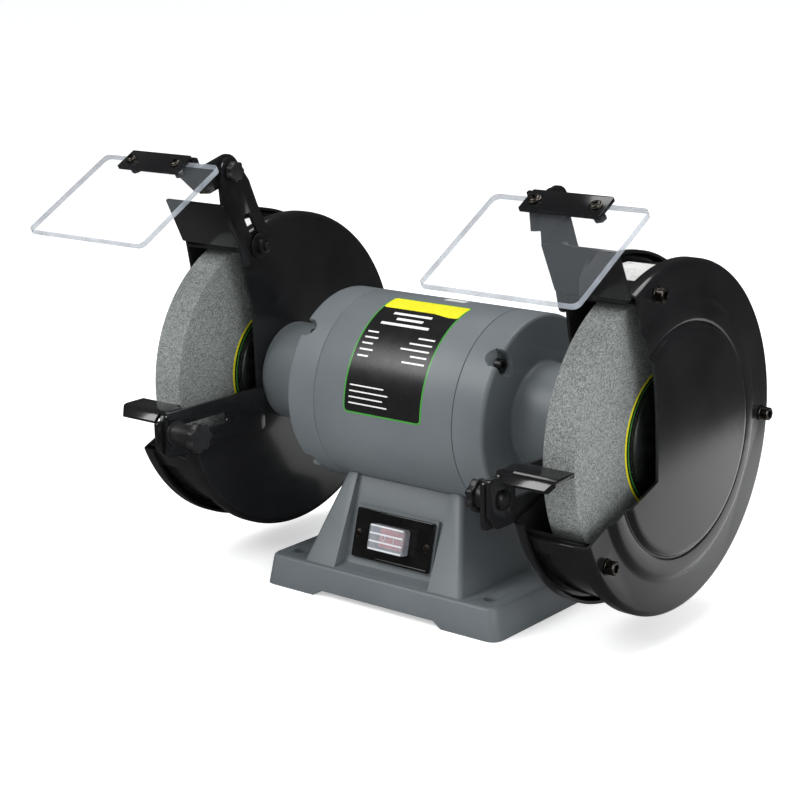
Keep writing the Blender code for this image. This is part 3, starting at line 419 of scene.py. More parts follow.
tube_inner = MOTOR_RADIUS - HOUSING_WALL
tube_section = [(HOUSING_HALF, tube_inner), (HOUSING_HALF, MOTOR_RADIUS), (-HOUSING_HALF, MOTOR_RADIUS),
                (-HOUSING_HALF, tube_inner)]
tube = turned(softened(tube_section, 0.0004, 2), parts=160)
piece("motor_tube", tube, casting_enamel, "frame", ["motor_housing"])

for hand, side in SIDES.items():
    rim, seat, seat_x = HOUSING_HALF + GAP, 0.0238, 0.0798
    bell_section = [
        (GUARD_X - GAP, NECK_BORE), (GUARD_X - GAP, NECK_RADIUS),
        *arc((MOTOR_HALF + 0.0025, NECK_RADIUS + 0.0025), 0.0025, 270, 180, 4),
        *arc((MOTOR_HALF - 0.0030, MOTOR_RADIUS - 0.0030), 0.0030, 0, 90, 6), (rim + 0.0004, MOTOR_RADIUS),
        (rim, MOTOR_RADIUS - 0.0004), (rim, tube_inner), (seat_x - 0.0093, tube_inner),
        (seat_x - 0.0030, tube_inner - 0.0200), (seat_x - 0.0030, 0.0155), (seat_x, 0.0155), (seat_x, seat),
        (seat_x + 0.0146, seat), (seat_x + 0.0180, NECK_BORE)]
    bell = turned(bell_section, parts=160)
    pockets = []
    for corner in (45, 135, 225, 315):
        pockets.append(rod(0.0076, TIE_POCKET_FLOOR, 0.09, on_circle(TIE_CIRCLE + 0.0020, corner), 40))
        pockets.append(rod(0.0031, 0.05, 0.09, on_circle(TIE_CIRCLE, corner), 20))
        outwards = Vector((0, -cos(radians(corner)), sin(radians(corner))))
        run = Vector((-sin(SCOOP_SLOPE), 0, 0)) + outwards * cos(SCOOP_SLOPE)
        lift = Vector((cos(SCOOP_SLOPE), 0, 0)) + outwards * sin(SCOOP_SLOPE)
        start = Vector((MOTOR_HALF, 0, SPINDLE_Z)) + outwards * SCOOP_START
        start += lift * SCOOP_RADIUS - run * 0.005
        pockets.append(slab(circle((0, 0), SCOOP_RADIUS, 40), 0.06, Matrix.Translation(start)
                            @ run.to_track_quat("Z", "Y").to_matrix().to_4x4()))
        notch_outline = [(0.0535, -0.0066), (0.0750, -0.0066), (0.0750, 0.0066), (0.0535, 0.0066)]
        notch = slab(softened(notch_outline, 0.0030), 0.02, upright(TIE_POCKET_FLOOR))
        notch.transform(Matrix.Translation((0, 0, SPINDLE_Z))
                        @ Matrix.Rotation(radians(180 - corner), 4, "X"))
        pockets.append(notch)
    bell = worked(bell, pockets)
    piece(f"motor_bell_{hand}", bell, casting_enamel, "frame", [f"end_bell_{hand}"], side)


# Tie bolts: black socket-head bolts in the right bell's pockets, with hexagon nuts in the left bell's.

black_steel = finish("black_steel", ((0.012, 0.012, 0.013), (0.030, 0.030, 0.031)), (0.28, 0.42),
                     metallic=0.6, patch=260, grain=2600, relief=0.00002)


def socket_head(x, radius, height, centre, shank_end, shank, washer=()):
    """A socket-head screw whose head's top is at x, over a washer of (radius, height) if one is given."""
    base = x - height
    section = [(x - height * 0.6, 0), (x - height * 0.6, radius * 0.55), (x - 0.0002, radius * 0.55),
               (x, radius * 0.62), (x, radius - 0.0005), (x - 0.0005, radius), (base, radius)]
    if washer:
        low = base - washer[1]
        section += [(base, washer[0] - 0.0002), (base - 0.0002, washer[0]), (low + 0.0002, washer[0]),
                    (low, washer[0] - 0.0002), (low, shank)]
    else:
        section.append((base, shank))
    body = turned(section + [(shank_end, shank), (shank_end, 0)], centre, 36, False)
    socket = slab(circle(centre, radius * 0.60, 6), height * 0.62, upright(x - height * 0.62))
    return worked(body, [socket])


for number in range(4):
    spot = on_circle(TIE_CIRCLE, 45 + 90 * number)
    head_x = TIE_POCKET_FLOOR + GAP
    tie_bolt = socket_head(head_x + 0.0048, 0.0042, 0.0048, spot, -head_x - 0.0032, 0.0025)
    tie_nut = eased(slab(circle(spot, 0.0043, 6), 0.0032, upright(-head_x - 0.0032)), 0.0003)
    tie_bolt = worked(tie_bolt, [tie_nut], "UNION")
    piece(f"through_bolt_{number + 1}", tie_bolt, black_steel, "frame",
          [f"tie_bolt_{number + 1}"])


# Motor label and sticker: printed foil, rolled onto the tube. The label has a green edge, a yellow head and a
# black field with plain rules where the ratings would be.

def print_finish(name, tone, gloss=(0.22, 0.34)):
    return finish(name, (tone, tuple(part * 1.08 for part in tone)), gloss, patch=120, grain=500,
                  relief=0.000004)


def foil(outline, radius, thickness=0.00006):
    """An outline of (x, length up from the front), wrapped round the spindle's axis."""
    shape = bmesh.new()
    shape.faces.new([shape.verts.new((x, 0, length)) for x, length in outline])
    lengths = [length for _, length in outline]
    steps = int((max(lengths) - min(lengths)) / 0.0020) + 1
    for step in range(1, steps):
        level = min(lengths) + (max(lengths) - min(lengths)) * step / steps
        bmesh.ops.bisect_plane(shape, geom=shape.verts[:] + shape.edges[:] + shape.faces[:], dist=0.0000001,
                               plane_co=(0, 0, level), plane_no=(0, 0, 1))
    for point in shape.verts:
        turn = point.co.z / MOTOR_RADIUS
        point.co = (point.co.x, -radius * cos(turn), SPINDLE_Z + radius * sin(turn))
    bmesh.ops.recalc_face_normals(shape, faces=shape.faces)
    centre = Vector((0, 0, SPINDLE_Z))
    if any(face.normal.dot(face.calc_center_median() - centre) < 0 for face in shape.faces):
        bmesh.ops.reverse_faces(shape, faces=shape.faces)
    grown = bmesh.ops.extrude_face_region(shape, geom=shape.faces[:])["geom"]
    for point in grown:
        if isinstance(point, bmesh.types.BMVert):
            away = Vector((0, point.co.y, point.co.z - SPINDLE_Z)).normalized() * thickness
            point.co += away
    return shape


label_green = print_finish("label_green", (0.055, 0.300, 0.045))
label_black = print_finish("label_black", (0.010, 0.010, 0.010))
label_yellow = print_finish("label_yellow", (0.800, 0.740, 0.020))
label_white = print_finish("label_white", (0.780, 0.780, 0.760))

LABEL_X = (-0.0320, 0.0335)
LABEL_RISE = (-0.0010, 0.0960)
LABEL_EDGE, PRINT_LIFT = 0.0012, 0.00017


def box_outline(x, rise, inset, radius):
    (left, right_edge), (foot_edge, head) = x, rise
    return softened([(left + inset, foot_edge + inset), (right_edge - inset, foot_edge + inset),
                     (right_edge - inset, head - inset), (left + inset, head - inset)], radius, 5)


def on_tube(name, outline, lift, material):
    piece(name, foil(outline, MOTOR_RADIUS + lift), material, "frame")


def rule(name, start, end, rise, height, radius=0.0003):
    """A white printed rule on the label, where a line of rating text would be."""
    on_tube(name, box_outline((start, end), (rise, rise + height), 0, radius), PRINT_LIFT, label_white)


on_tube("label_edge", box_outline(LABEL_X, LABEL_RISE, 0, 0.0040), 0.00003, label_green)
on_tube("label_field", box_outline(LABEL_X, LABEL_RISE, LABEL_EDGE, 0.0030), 0.00010, label_black)
head_low, head_top = LABEL_RISE[1] - 0.0150, LABEL_RISE[1] - LABEL_EDGE
head_start, head_end = LABEL_X[0] + LABEL_EDGE, LABEL_X[1] - LABEL_EDGE
head_outline = [(head_start, head_low), (0.0120, head_low), (0.0250, head_low - 0.0022),
                (head_end, head_low - 0.0018), (head_end, head_top), (head_start, head_top)]
on_tube("label_head", softened(head_outline, 0.0020, 4), PRINT_LIFT, label_yellow)
for row, (start, end) in enumerate(((-0.018, 0.014), (-0.012, 0.010), (-0.022, 0.018))):
    rule(f"label_title_{row + 1}", start, end, 0.0745 - row * 0.0052, 0.0022, 0.0004)
for row in range(5):
    rise = 0.0560 - row * 0.0046
    rule(f"label_name_{row + 1}", -0.0275, -0.0185 + row % 2 * 0.002, rise, 0.0012)
    rule(f"label_value_{row + 1}", 0.0150 - row % 3 * 0.005, 0.0285, rise, 0.0012)
for row in range(4):
    rule(f"label_foot_{row + 1}", -0.0275, 0.0010 + row % 2 * 0.004, 0.0175 - row * 0.0040, 0.0009)
on_tube("tube_sticker", box_outline((0.0010, 0.0185), (0.1055, 0.1120), 0, 0.0010), 0.00003, label_white)


# Switch: a black plate on the boss, held by two cross-head screws, with a red rocker under a ribbed clear
# cover that keeps grit out. The rocker carries the usual 0 and I.

PLATE = (0.0660, 0.0337, 0.0020)
DUST_COVER = (0.0300, 0.0178, 0.0075)
SCREW_X, SCREW_V = (-0.0293, 0.0287), -0.0004
ROCKER_TILT, MARK_TILT = radians(-9), radians(8.4)


def rect(width, height, radius, parts=4, centre=(0, 0)):
    x, y = width / 2, height / 2
    corners = [(centre[0] + a * x, centre[1] + b * y) for a, b in ((-1, -1), (1, -1), (1, 1), (-1, 1))]
    return softened(corners, radius, parts)


def on_switch(x=0.0, y=0.0, z=0.0):
    return SWITCH_PLACE @ Matrix.Translation((x, y, z))


plate_shape = eased(slab(rect(PLATE[0], PLATE[1], 0.0016), PLATE[2], on_switch(z=-PLATE[2])), 0.0005, 3)
window = slab(rect(0.0206, 0.0141, 0.0008), 0.02, on_switch(z=-0.01))
seats = [slab(circle((x, SCREW_V), 0.0030), 0.02, on_switch(z=-0.0008)) for x in SCREW_X]
ridges = [eased(slab(rect(0.0440, 0.0017, 0.0007, centre=(0.0100, y)), 0.0016, on_switch(z=-0.0006)), 0.0004)
          for y in (-0.0157, 0.0157)]
plate_shape = worked(worked(plate_shape, ridges, "UNION"), [window, *seats])
gloss_black = finish("gloss_black_plastic", ((0.004, 0.004, 0.004), (0.007, 0.007, 0.007)), (0.10, 0.18),
                     patch=90)
piece("switch_panel", plate_shape, gloss_black, "frame", ["switch_plate"])


def cross_screw(radius, height):
    """A pan head about +Z with a cross recess, standing on Z 0."""
    crown = arc((height * 0.45, radius * 0.55), height * 0.55, 80, 5, 4)
    head = turned([(0, 0), (0, radius), (height * 0.45, radius), *crown, (height, 0)], (0, 0), 32, False)
    head.transform(Matrix.Rotation(-pi / 2, 4, "Y"))
    arm, width = radius * 1.15, radius * 0.26
    bars = [slab(rect(*size, width * 0.3, 2), height, Matrix.Translation((0, 0, height * 0.45)))
            for size in ((arm, width), (width, arm))]
    return worked(head, bars)


bronzed = finish("bronzed_screw", ((0.055, 0.050, 0.044), (0.120, 0.108, 0.092)), (0.26, 0.40), metallic=1.0,
                 patch=500)
for number, x in enumerate(SCREW_X, 1):
    screw = cross_screw(0.0027, 0.0012)
    screw.transform(on_switch(x, SCREW_V, -0.0007) @ Matrix.Rotation(radians(25 * number), 4, "Z"))
    piece(f"switch_screw_{number}", screw, bronzed, "frame")

ROCKER_PLACE = on_switch(z=-0.0015) @ Matrix.Rotation(ROCKER_TILT, 4, "Y")
rocker_red = finish("rocker_red", ((0.52, 0.030, 0.030), (0.60, 0.045, 0.040)), (0.18, 0.28), patch=200)
rocker_side = [(-0.0095, -0.0050), (0.0095, -0.0050), (0.0095, 0.0050), (0, 0.0036), (-0.0095, 0.0050)]
rocker = slab(softened(rocker_side, 0.0010, 4), 0.0125, ROCKER_PLACE @ frontal(0.00625))
piece("rocker_button", eased(rocker, 0.0005, 2), rocker_red, "switch_rocker",
      ["switch_rocker"])
mark_white = print_finish("mark_white", (0.80, 0.80, 0.78))
mark_place = ROCKER_PLACE @ Matrix.Translation((0, 0, 0.0041))
zero = slab(circle((-0.0052, 0), 0.0021), 0.0003, mark_place @ Matrix.Rotation(MARK_TILT, 4, "Y"),
            [circle((-0.0052, 0), 0.0015)])
bar = slab(rect(0.0008, 0.0042, 0.0002, centre=(0.0052, 0)), 0.0003,
           mark_place @ Matrix.Rotation(-MARK_TILT, 4, "Y"))
piece("rocker_mark_off", zero, mark_white, "switch_rocker")
piece("rocker_mark_on", bar, mark_white, "switch_rocker")

clear_cover = finish("clear_cover", ((0.62, 0.66, 0.72), (0.72, 0.76, 0.82)), (0.10, 0.20), patch=150)
clear_cover.node_tree.nodes["Principled BSDF"].inputs["Alpha"].default_value = 0.24
# Painted highlight: the ribs get a lighter, more opaque colour than the clear cover they belong to, standing
# in for the light they catch.
rib_painted_highlight = finish("rib_painted_highlight", ((0.78, 0.80, 0.83), (0.86, 0.88, 0.90)), (0.16, 0.26), patch=150)
rib_painted_highlight.node_tree.nodes["Principled BSDF"].inputs["Alpha"].default_value = 0.80
hood = slab(rect(DUST_COVER[0], DUST_COVER[1], 0.0022, 5), DUST_COVER[2] - GAP, on_switch(z=GAP))
eased(hood, 0.0010, 3, 60)
hollow = slab(rect(DUST_COVER[0] - 0.0018, DUST_COVER[1] - 0.0018, 0.0015, 5), DUST_COVER[2] + 0.0086,
              on_switch(z=-0.0100))
piece("dust_hood", worked(hood, [hollow]), clear_cover, "frame", ["switch_dust_cover"])
for number, y in enumerate((-0.0079, -0.0027, 0.0027, 0.0079), 1):
    rib = slab(rect(DUST_COVER[0] - 0.0020, 0.0012, 0.0005, 3, (0, y)), 0.0008,
               on_switch(z=DUST_COVER[2] - 0.0007))
    piece(f"dust_hood_rib_{number}", eased(rib, 0.0002), rib_painted_highlight, "frame")


# Wheel guards: a pressed plate behind each wheel, a rolled band round it and a pressed, domed cover outside,
# all in gloss black. Band and plate are welded, and three screws hold the cover to tabs inside the band.

SHEET = 0.0020
GUARD_RADIUS, COVER_RADIUS, BAND_RADIUS = 0.1138, 0.1131, 0.1073
COVER_FACE, COVER_LIP = 0.1873, 0.1770
COVER_DOME, DOME_RADIUS, DOME_FALL = 0.0089, 0.0725, 0.0030
GROOVE = ((0.0061, 0.0706), (0.0054, 0.0721), (0.0040, 0.0731), (0.0031, 0.0739), (0.0029, 0.0748),
          (0.0033, 0.0757), (0.0035, 0.0775), (0.0033, 0.0840), (0.0027, 0.0866), (0.0010, 0.0887),
          (0.0003, 0.0900), (0, 0.0915))
SCREW_CIRCLE, SCREW_ANGLES = 0.1025, (72, 183, 324)
CLAMP = (-0.0369, 0.2292)
MOUTH = ((-0.0390, 0.1160), (-0.0410, 0.1760), (-0.0430, 0.1900), (-0.0470, 0.2020), (-0.0528, 0.2335),
         (-0.0700, 0.3000), (-0.2000, 0.3000), (-0.2000, 0.0481))
PLATE_MOUTH = (*MOUTH[:-1], (-0.2000, 0.0700))
FOLDS = {"lower": (-24.5, -1, 0.0115, 0.0030), "upper": (64.1, 1, 0.0045, 0.0022)}

guard_enamel = finish("guard_enamel", ((0.0065, 0.0065, 0.0072), (0.0110, 0.0110, 0.0120)), (0.13, 0.22),
                      patch=26, grain=420, relief=0.00003, coat=0.25)


def inside(outline, u, v):
    """Whether a point is inside a closed outline."""
    crossings = 0
    for (u0, v0), (u1, v1) in zip(outline, outline[1:] + outline[:1]):
        if (v0 > v) != (v1 > v) and u < u0 + (u1 - u0) * (v - v0) / (v1 - v0):
            crossings += 1
    return crossings % 2 == 1


def pressed(section, mouth, thickness, inward, holes):
    """A sheet pressed to a section of (x, radius) points, with a mouth and holes cut out of it."""
    shape = turned(section, parts=160, loop=False)
    centre = Vector((inward, 0, SPINDLE_Z))
    facing = sum(face.normal.dot(face.calc_center_median() - centre) * face.calc_area()
                 for face in shape.faces)
    if facing < 0:
        bmesh.ops.reverse_faces(shape, faces=shape.faces)
    for (y0, z0), (y1, z1) in zip(mouth, mouth[1:] + mouth[:1]):
        bmesh.ops.bisect_plane(shape, geom=shape.verts[:] + shape.edges[:] + shape.faces[:], dist=0.0000005,
                               plane_co=(0, y0, z0), plane_no=(0, z1 - z0, y0 - y1))
    gone = [face for face in shape.faces if inside(mouth, *face.calc_center_median().yz)]
    bmesh.ops.delete(shape, geom=gone, context="FACES")
    bmesh.ops.solidify(shape, geom=shape.faces[:], thickness=thickness)
    return worked(shape, holes)


def screw_holes():
    return [rod(0.0028, 0.17, 0.2, on_circle(SCREW_CIRCLE, angle), 24) for angle in SCREW_ANGLES]


for hand, side in SIDES.items():
    plate_section = [(GUARD_X + 0.0090, GUARD_RADIUS),
                     *arc((GUARD_X + 0.0050, GUARD_RADIUS - 0.0050), 0.0050, 90, 180, 8), (GUARD_X, 0.0170)]
    clamp_hole = rod(0.0032, 0.13, 0.14, CLAMP, 24)
    plate = pressed(plate_section, PLATE_MOUTH, SHEET, GUARD_X + 0.03, [clamp_hole])
    piece(f"guard_back_{hand}", plate, guard_enamel, "frame", [f"guard_plate_{hand}"], side)

    face = COVER_FACE
    cover_section = [(face + COVER_DOME - DOME_FALL * (radius / DOME_RADIUS) ** 2, radius)
                     for radius in (0, 0.012, 0.024, 0.036, 0.048, 0.060, 0.0685)]
    cover_section += [(face + step, radius) for step, radius in GROOVE]
    cover_section += [(face, COVER_RADIUS - 0.0040),
                      *arc((face - 0.0040, COVER_RADIUS - 0.0040), 0.0040, 0, 90, 8)[1:],
                      (COVER_LIP, COVER_RADIUS)]
    cover = pressed(cover_section, MOUTH, SHEET, 0.16, screw_holes())
    piece(f"guard_face_{hand}", cover, guard_enamel, "frame", [f"guard_cover_{hand}"], side)

    low, high = GUARD_X + SHEET + GAP, COVER_FACE - SHEET - GAP
    band = turned([(high, BAND_RADIUS - 0.0015), (high, BAND_RADIUS), (low, BAND_RADIUS),
                   (low, BAND_RADIUS - 0.0015)], parts=160)
    mouth_tool = slab(MOUTH, 0.3, upright(0))
    clamp_notch = rod(0.0058, 0.13, low + 0.0027, CLAMP, 24)
    band = worked(band, [mouth_tool, clamp_notch])
    tabs = []
    for angle in SCREW_ANGLES:
        tab = slab(softened([(SCREW_CIRCLE - 0.0055, -0.0080), (BAND_RADIUS - 0.0007, -0.0080),
                             (BAND_RADIUS - 0.0007, 0.0080), (SCREW_CIRCLE - 0.0055, 0.0080)], 0.0030), SHEET,
                   upright(high - SHEET))
        tab.transform(Matrix.Translation((0, 0, SPINDLE_Z)) @ Matrix.Rotation(radians(180 - angle), 4, "X"))
        tabs.append(tab)
    band = worked(band, tabs, "UNION")
    band = worked(band, screw_holes())
    piece(f"guard_wrap_{hand}", band, guard_enamel, "frame", [f"guard_band_{hand}"], side)
    for edge, (start, way, height, stand) in FOLDS.items():
        stops = [start + way * degrees(height / BAND_RADIUS) * part / 6 for part in range(7)]
        fold = [on_circle(BAND_RADIUS - 0.0005, stop) for stop in stops]
        fold += [on_circle(BAND_RADIUS + stand, stop) for stop in reversed(stops)]
        fold = eased(slab(fold, high - low - 0.0080, upright(low + 0.0040)), 0.0006, 3, 50)
        piece(f"band_fold_{edge}_{hand}", fold, guard_enamel, "frame", side=side)

    for number, angle in enumerate(SCREW_ANGLES, 1):
        cap = socket_head(COVER_FACE + GAP + 0.0062, 0.0044, 0.0052, on_circle(SCREW_CIRCLE, angle),
                          COVER_FACE - 0.0075, 0.0025, (0.0052, 0.0010))
        piece(f"cover_bolt_{hand}_{number}", cap, bronzed, "frame",
              [f"cover_screw_{hand}_{number}"], side)


# Stickers on the guards: a plain white paper one across the top of each band.

for hand, side in SIDES.items():
    start, stop = 74, 92
    stops = [start + (stop - start) * part / 16 for part in range(17)]
    paper_strip = [on_circle(BAND_RADIUS + 0.00004, turn) for turn in stops]
    paper_strip += [on_circle(BAND_RADIUS + 0.00016, turn) for turn in reversed(stops)]
    strip = slab(paper_strip, 0.0260, upright(0.1450))
    piece(f"band_sticker_{hand}", strip, label_white, "frame", side=side)


# Wheels: grey aluminium-oxide grit in a baked bond, dressed true, with a printed card blotter on each face.

WHEEL_RADIUS, WHEEL_INNER, WHEEL_OUTER = 0.1000, 0.1516, 0.1756
WHEEL_EDGE = 0.0012
ARBOR_RADIUS, SHOULDER = 0.0080, 0.1405

grit = finish("wheel_grit", ((0.110, 0.124, 0.118), (0.225, 0.246, 0.236)), (0.85, 0.98), patch=1500,
              grain=2400, relief=0.0002)
grit_nodes, grit_link = grit.node_tree.nodes, grit.node_tree.links.new
grains = grit_nodes.new("ShaderNodeTexVoronoi")
grains.inputs["Scale"].default_value = 1450
grain_tone = grit_nodes.new("ShaderNodeValToRGB")
grain_tone.color_ramp.elements[0].color = (0.045, 0.053, 0.050, 1)
grain_tone.color_ramp.elements[0].position = 0.10
grain_tone.color_ramp.elements[1].color = (0.430, 0.458, 0.442, 1)
grain_tone.color_ramp.elements[1].position = 0.95
speckle = grit_nodes.new("ShaderNodeMix")
speckle.data_type = "RGBA"
speckle.inputs["Factor"].default_value = 0.60
grit_link(grit_nodes["Texture Coordinate"].outputs["Object"], grains.inputs["Vector"])
grit_link(grains.outputs["Color"], grain_tone.inputs["Fac"])
grit_link(grit_nodes["Color Ramp"].outputs["Color"], speckle.inputs["A"])
grit_link(grain_tone.outputs["Color"], speckle.inputs["B"])
grit_link(speckle.outputs["Result"], grit_nodes["Principled BSDF"].inputs["Base Color"])

flange_steel = finish("flange_steel", ((0.075, 0.079, 0.083), (0.130, 0.134, 0.138)), (0.26, 0.40),
                      metallic=0.9, patch=120, grain=900, relief=0.00003)
bright_steel = finish("bright_steel", ((0.46, 0.46, 0.47), (0.58, 0.58, 0.59)), (0.22, 0.36),
                      metallic=1.0, patch=140, grain=1100, relief=0.00003)

for hand, side in SIDES.items():
    edge, bore = WHEEL_EDGE, ARBOR_RADIUS + GAP
    wheel = turned([(WHEEL_OUTER, bore), *arc((WHEEL_OUTER - edge, WHEEL_RADIUS - edge), edge, 0, 90, 4),
                    *arc((WHEEL_INNER + edge, WHEEL_RADIUS - edge), edge, 90, 180, 4), (WHEEL_INNER, bore)],
                   parts=160)
    piece(f"wheel_{hand}", wheel, grit, "spindle", [f"grinding_wheel_{hand}"], side)
    for place, low in (("inner", WHEEL_INNER - 0.00022), ("outer", WHEEL_OUTER + 0.00002)):
        rings = (("rim", 0.0465, 0.0449, label_yellow), ("disc", 0.0449, 0.0400, label_black),
                 ("line", 0.0432, 0.0424, label_green))
        for name, radius, bore, tone in rings:
            lift = 0.00004 if name == "line" else 0
            ring = turned([(low + 0.00018 + lift, bore), (low + 0.00018 + lift, radius), (low - lift, radius),
                           (low - lift, bore)], parts=128)
            piece(f"blotter_{name}_{place}_{hand}", ring, tone, "spindle", side=side)


# Spindle and flanges: a ground steel shaft with a shoulder for each wheel, two dished steel flanges that grip
# the wheel through its blotters, and a hexagon nut on each end.

FLANGE_RADIUS = 0.0400
NUT_X = WHEEL_OUTER + 0.0061

shaft_half = [(NUT_X + 0.0085, 0), (NUT_X + 0.0085, ARBOR_RADIUS - 0.0010), (NUT_X + 0.0075, ARBOR_RADIUS),
              (SHOULDER, ARBOR_RADIUS), (SHOULDER, 0.0098), (SHOULDER - 0.0002, 0.0100)]
shaft = turned(shaft_half + [(-x, radius) for x, radius in reversed(shaft_half)], parts=64, loop=False)
piece("spindle_shaft", shaft, bright_steel, "spindle", ["spindle"])

for hand, side in SIDES.items():
    bore, hub = ARBOR_RADIUS + GAP, 0.0165
    back = WHEEL_INNER - GAP
    dish = [(back, 0.0300), (back, FLANGE_RADIUS - 0.0003), (back - 0.0003, FLANGE_RADIUS),
            (back - 0.0027, FLANGE_RADIUS), (back - 0.0032, FLANGE_RADIUS - 0.0006), (back - 0.0040, 0.0360),
            (back - 0.0036, 0.0352), (back - 0.0046, 0.0318), (back - 0.0042, 0.0308),
            (back - 0.0055, 0.0260), (back - 0.0052, 0.0250), (back - 0.0068, 0.0172), (back - 0.0073, hub),
            (SHOULDER + GAP + 0.0004, hub), (SHOULDER + GAP, hub - 0.0004), (SHOULDER + GAP, bore),
            (back - 0.0020, bore), (back - 0.0020, 0.0295)]
    piece(f"flange_back_{hand}", turned(dish, parts=96), flange_steel, "spindle",
          [f"inner_flange_{hand}"], side)
    front = WHEEL_OUTER + GAP
    dish = [(front + 0.0055, bore), (front + 0.0055, hub - 0.0004), (front + 0.0052, hub),
            (front + 0.0046, 0.0310), (front + 0.0042, 0.0330), (front + 0.0028, FLANGE_RADIUS - 0.0008),
            (front + 0.0022, FLANGE_RADIUS), (front + 0.0003, FLANGE_RADIUS), (front, FLANGE_RADIUS - 0.0003),
            (front, 0.0300), (front + 0.0020, 0.0295), (front + 0.0020, bore)]
    piece(f"flange_front_{hand}", turned(dish, parts=96), flange_steel, "spindle",
          [f"outer_flange_{hand}"], side)
    nut = slab(circle((0, SPINDLE_Z), 0.0134, 6), 0.0070, upright(NUT_X), [circle((0, SPINDLE_Z), bore, 32)])
    piece(f"arbor_nut_{hand}", eased(nut, 0.0004), bright_steel, "spindle",
          [f"spindle_nut_{hand}"], side)


# Tool rests: a slotted arm on the motor side of each guard, and on it a bent steel rest with a table and a
# rolled front edge. A carriage bolt and a star knob clamp the rest where it is slid to.

ARM_Y, ARM_Z = (-0.1340, -0.0370), (0.0975, 0.1285)
ARM_SLOT_Y = (-0.1302, -0.0746)
REST_Z, REST_BOLT = 0.1145, 0.0029
REST_Y = {"left": -0.1260, "right": -0.1200}
REST_HALF = 0.0130
TABLE_TOP = {"left": 0.1285, "right": 0.1345}
TABLE_REAR, TABLE_FRONT = 0.0170, 0.0027
TABLE_OUTER, LIP_X = 0.1770, (0.1420, 0.1720)
ARM_SHEET = 0.0030
KNOB_LENGTH = {"left": 0.0244, "right": 0.0144}
KNOB_LOBES = 7


def slot_outline(start, end, radius, parts=10):
    turn = atan2(end[1] - start[1], end[0] - start[0]) * 180 / pi
    return arc(end, radius, turn - 90, turn + 90, parts) + arc(start, radius, turn + 90, turn + 270, parts)


def star_knob(centre, radius, outer, length, parts=12):
    """A moulded head with round lobes, whose outer face is towards the motor."""
    outline = []
    for step in range(KNOB_LOBES * parts):
        turn = 2 * pi * step / (KNOB_LOBES * parts)
        reach = radius * (0.92 + 0.08 * cos(turn * KNOB_LOBES)) - 0.0001
        outline.append((centre[0] + reach * cos(turn), centre[1] + reach * sin(turn)))
    return eased(slab(outline, length, upright(outer)), 0.0011, 4, 50)


